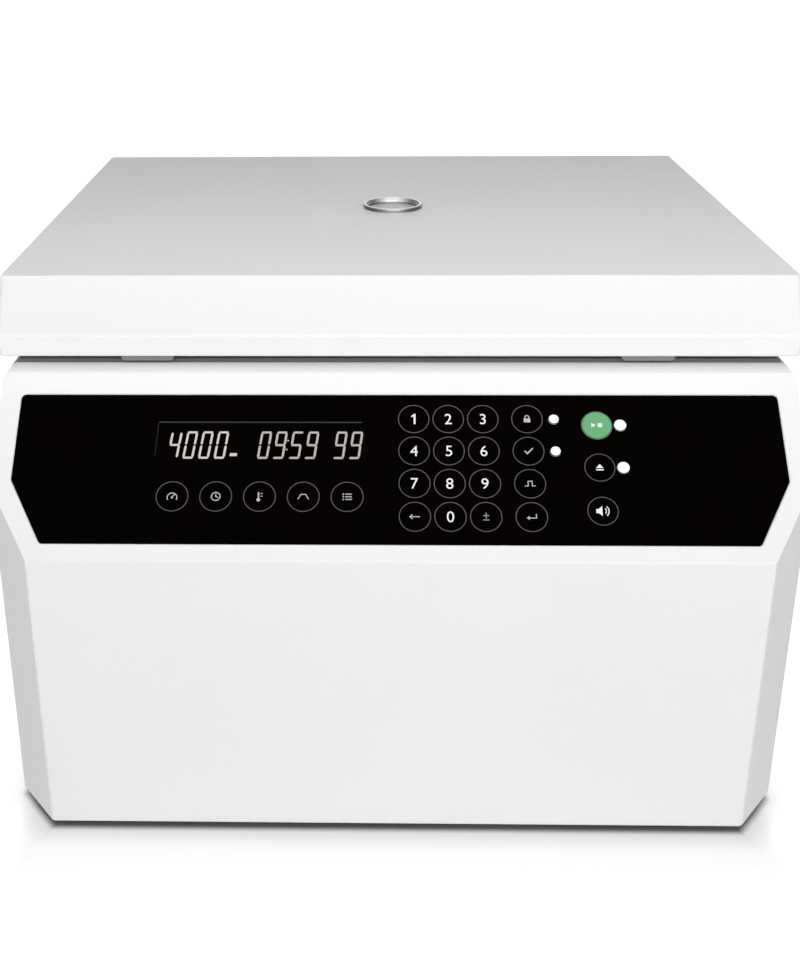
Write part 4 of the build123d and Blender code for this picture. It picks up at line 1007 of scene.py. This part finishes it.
class CYTO_OT_back(bpy.types.Operator):
    """Dresses the back sheet, the mains inlet and the power switch, with their screws and marks"""
    bl_idname = "cyto.back"
    bl_label = "Back"

    def execute(self, context):
        dress("rear_panel", "power_inlet", "power_rocker")
        low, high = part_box("rear_panel")
        inset = 9 * MM
        across = (low.x + inset, (low.x + high.x) / 2, high.x - inset)
        places = [(x, high.y, z) for x in across for z in (low.z + inset, high.z - inset)]
        screws("back_screws", "base", places, (0, 1, 0), context.scene.cyto_detail.screw_radius)
        self.switch_marks()
        return {"FINISHED"}

    def switch_marks(self):
        """On and off marks on the two halves of the rocker's face."""
        faces = [face for face in frame["nodes"]["power_rocker"].data.polygons if face.normal.y > 0.9]
        low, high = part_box("power_rocker")
        on_mark = bar(-0.4 * MM, -2.2 * MM, 0.4 * MM, 2.2 * MM)
        off_mark = ring(2.3 * MM, 0.75 * MM)
        work = bmesh.new()
        for lower, share, mark in ((True, 0.27, on_mark), (False, 0.73, off_mark)):
            half = [face for face in faces if (face.center.z < (low.z + high.z) / 2) == lower]
            widest = max(half, key=lambda face: face.area)
            normal = widest.normal.copy()
            height = low.z + share * (high.z - low.z)
            back = widest.center.y - (height - widest.center.z) * normal.z / normal.y
            centre = Vector(((low.x + high.x) / 2, back, height))
            inlay(work, mark, placer(centre, normal, (-1, 0, 0)))
        ink = printed("ink_white", bpy.context.scene.cyto_paint.white)
        piece_from("switch_marks", work, BODY_OF["power_rocker"], "rocker_black", ink)


# Rows of glow added to the floor, which paint the soft shadow round the casing since the glow is weakest
# near it: from and to a distance outside the casing, in millimetres, and light added.
PAINTED_SHADOW_LIFTS = ((-3.2, 2.8, 0.71), (-4.0, 20.0, 0.34), (15.0, 80.0, 0.25))
# Painted light beside the casing's sides: more glow there, so the painted shadow thins out along them.
PAINTED_SIDE_LIFT = (-12.0, 4.0, 0.25)
FLOOR_GLOW = 0.8                         # share of that light in what the eye sees
# A lamp: its name, place, aim and size in metres, and the setting that holds its power.
LAMPS = (("front_lamp", (0.21, -1.39, 0.75), (0.0, 0.0, 0.15), (1.6, 1.2), "key_power"),
         ("strip_lamp", (0.01, -0.23, 0.62), (0.0, 0.0, 0.15), (1.0, 0.3), "strip_power"),
         ("side_lamp", (-0.9, -0.25, 0.25), (-0.19, -0.2, 0.1), (0.6, 0.5), "side_power"))
CAMERA_PLACE = (-0.01528, -0.82379, 0.46875)
CAMERA_SHIFT = 0.06775                   # across, as a share of the picture's width


class CYTO_OT_stage(bpy.types.Operator):
    """Sets the floor, the lamps, the room's light and the camera"""
    bl_idname = "cyto.stage"
    bl_label = "Stage"

    def execute(self, context):
        stage = context.scene.cyto_stage
        self.floor(stage)
        for name, place, aim, size, power in LAMPS:
            self.lamp(name, Vector(place), Vector(aim), size, getattr(stage, power))
        self.room(context.scene, stage)
        self.camera(context.scene, stage)
        context.scene.view_settings.view_transform = "Standard"
        return {"FINISHED"}

    def floor(self, stage):
        """Wide floor, white beyond the casing, with a soft shadow round it that is partly real and partly
        painted by a glow that fades near the casing.
        """
        work = bmesh.new()
        bmesh.ops.create_grid(work, x_segments=8, y_segments=8, size=9.0)
        floor = bpy.data.objects.new("floor", mesh_of(work, "floor"))
        floor.location = (0.0, 0.0, cad_box[0].z)
        bpy.context.scene.collection.objects.link(floor)
        finish = Finish("pale_floor", [stage.floor_albedo] * 3, 0.9, Specular_IOR_Level=0.0)
        away, beside = self.distances(finish)
        painted_shadow_glow = 0.0
        # Painted shadow: the glow that the eye sees grows with the distance from the casing.
        for value, (start, end, share) in [(away, row) for row in PAINTED_SHADOW_LIFTS] + [(beside, PAINTED_SIDE_LIFT)]:
            painted_shadow_glow = spread(value, start * MM, end * MM, share) + painted_shadow_glow
        eye = finish.node("ShaderNodeLightPath", output="Is Camera Ray")
        glow = finish.node("ShaderNodeEmission", {}, {"Color": (1, 1, 1, 1), "Strength": painted_shadow_glow})
        finish.cover(eye * FLOOR_GLOW, glow)
        floor.data.materials.append(finish.material)

    def distances(self, finish):
        """How far a place on the floor lies outside the casing's plan and beyond its sides, in metres."""
        x, y = finish.axis("X"), finish.axis("Y")
        half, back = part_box("housing")[1].x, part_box("housing")[1].y
        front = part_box("front_cover")[0].y
        corners = [vertex.co for vertex in frame["nodes"]["front_cover"].data.vertices]
        near = 1 * MM
        inner = max(corner.x for corner in corners if corner.y < front + near)
        cut_back = min(corner.y for corner in corners if corner.x > half - near)
        slant = Vector((cut_back - front, inner - half)).normalized()
        side = x.unsigned()
        beyond = (side - inner) * slant.x + (y - front) * slant.y
        return max_of(side - half, y - back, front - y, beyond), side - half

    def lamp(self, name, place, aim, size, power):
        """Large soft lamp that points at a place."""
        light = bpy.data.lights.new(name, "AREA")
        light.shape = "RECTANGLE"
        light.size, light.size_y = size
        light.energy = power
        holder = bpy.data.objects.new(name, light)
        holder.location = place
        holder.rotation_euler = (aim - place).to_track_quat("-Z", "Y").to_euler()
        bpy.context.scene.collection.objects.link(holder)

    def room(self, scene, stage):
        """White surroundings for the eye, glass and metal, and softer light from the sides on the rest."""
        scene.world = bpy.data.worlds.new("room")
        tree = NodeTree(scene.world)
        direction = tree.node("ShaderNodeTexCoord", output="Generated")
        rise = tree.node("ShaderNodeSeparateXYZ", {}, {0: direction}, output="Z")
        strength = tree.node("ShaderNodeMapRange", {},
                             {"Value": rise, "To Min": stage.horizon, "To Max": stage.zenith})
        for ray in ("Is Camera Ray", "Is Glossy Ray", "Is Transmission Ray"):
            strength = max_of(strength, tree.node("ShaderNodeLightPath", output=ray))
        background = tree.nodes["Background"]
        tree.plug(background.inputs["Color"], (1.0, 1.0, 1.0, 1.0))
        tree.plug(background.inputs["Strength"], strength)

    def camera(self, scene, stage):
        """Camera in front of the machine, a little above its lid."""
        camera = bpy.data.cameras.new("camera")
        camera.lens = stage.lens
        camera.shift_x = CAMERA_SHIFT
        holder = bpy.data.objects.new("camera", camera)
        holder.location = CAMERA_PLACE
        turn = Matrix.Rotation(stage.yaw, 3, "Z") @ Matrix.Rotation(stage.tilt, 3, "X")
        holder.rotation_euler = (turn @ Matrix.Rotation(stage.roll, 3, "Z")).to_euler()
        scene.collection.objects.link(holder)
        scene.camera = holder


OPERATORS = (CYTO_OT_casing, CYTO_OT_deck, CYTO_OT_lid, CYTO_OT_panel, CYTO_OT_key_print, CYTO_OT_display,
             CYTO_OT_chamber, CYTO_OT_rotor, CYTO_OT_hinges_and_lock, CYTO_OT_back, CYTO_OT_stage)


class CYTO_PT_looks(bpy.types.Panel):
    """Sidebar list of the steps and their settings"""
    bl_idname = "CYTO_PT_looks"
    bl_label = "Cytocentrifuge"
    bl_space_type = "VIEW_3D"
    bl_region_type = "UI"
    bl_category = "Cytocentrifuge"

    def draw(self, context):
        for group in (context.scene.cyto_paint, context.scene.cyto_detail, context.scene.cyto_stage):
            box = self.layout.box()
            for name in group.bl_rna.properties.keys():
                if name not in ("rna_type", "name"):
                    box.prop(group, name)
        for operator in OPERATORS:
            self.layout.operator(operator.bl_idname)


CLASSES = (PaintSettings, DetailSettings, StageSettings, *OPERATORS, CYTO_PT_looks)


def register():
    """Adds the classes and the scene's settings."""
    for kind in CLASSES:
        bpy.utils.register_class(kind)
    bpy.types.Scene.cyto_paint = PointerProperty(type=PaintSettings)
    bpy.types.Scene.cyto_detail = PointerProperty(type=DetailSettings)
    bpy.types.Scene.cyto_stage = PointerProperty(type=StageSettings)


def unregister():
    """Takes them out again."""
    for name in ("cyto_paint", "cyto_detail", "cyto_stage"):
        delattr(bpy.types.Scene, name)
    for kind in reversed(CLASSES):
        bpy.utils.unregister_class(kind)


def main():
    """Runs every step in order."""
    register()
    for operator in OPERATORS:
        group, name = operator.bl_idname.split(".")
        getattr(getattr(bpy.ops, group), name)()


if __name__ == "__main__":
    main()
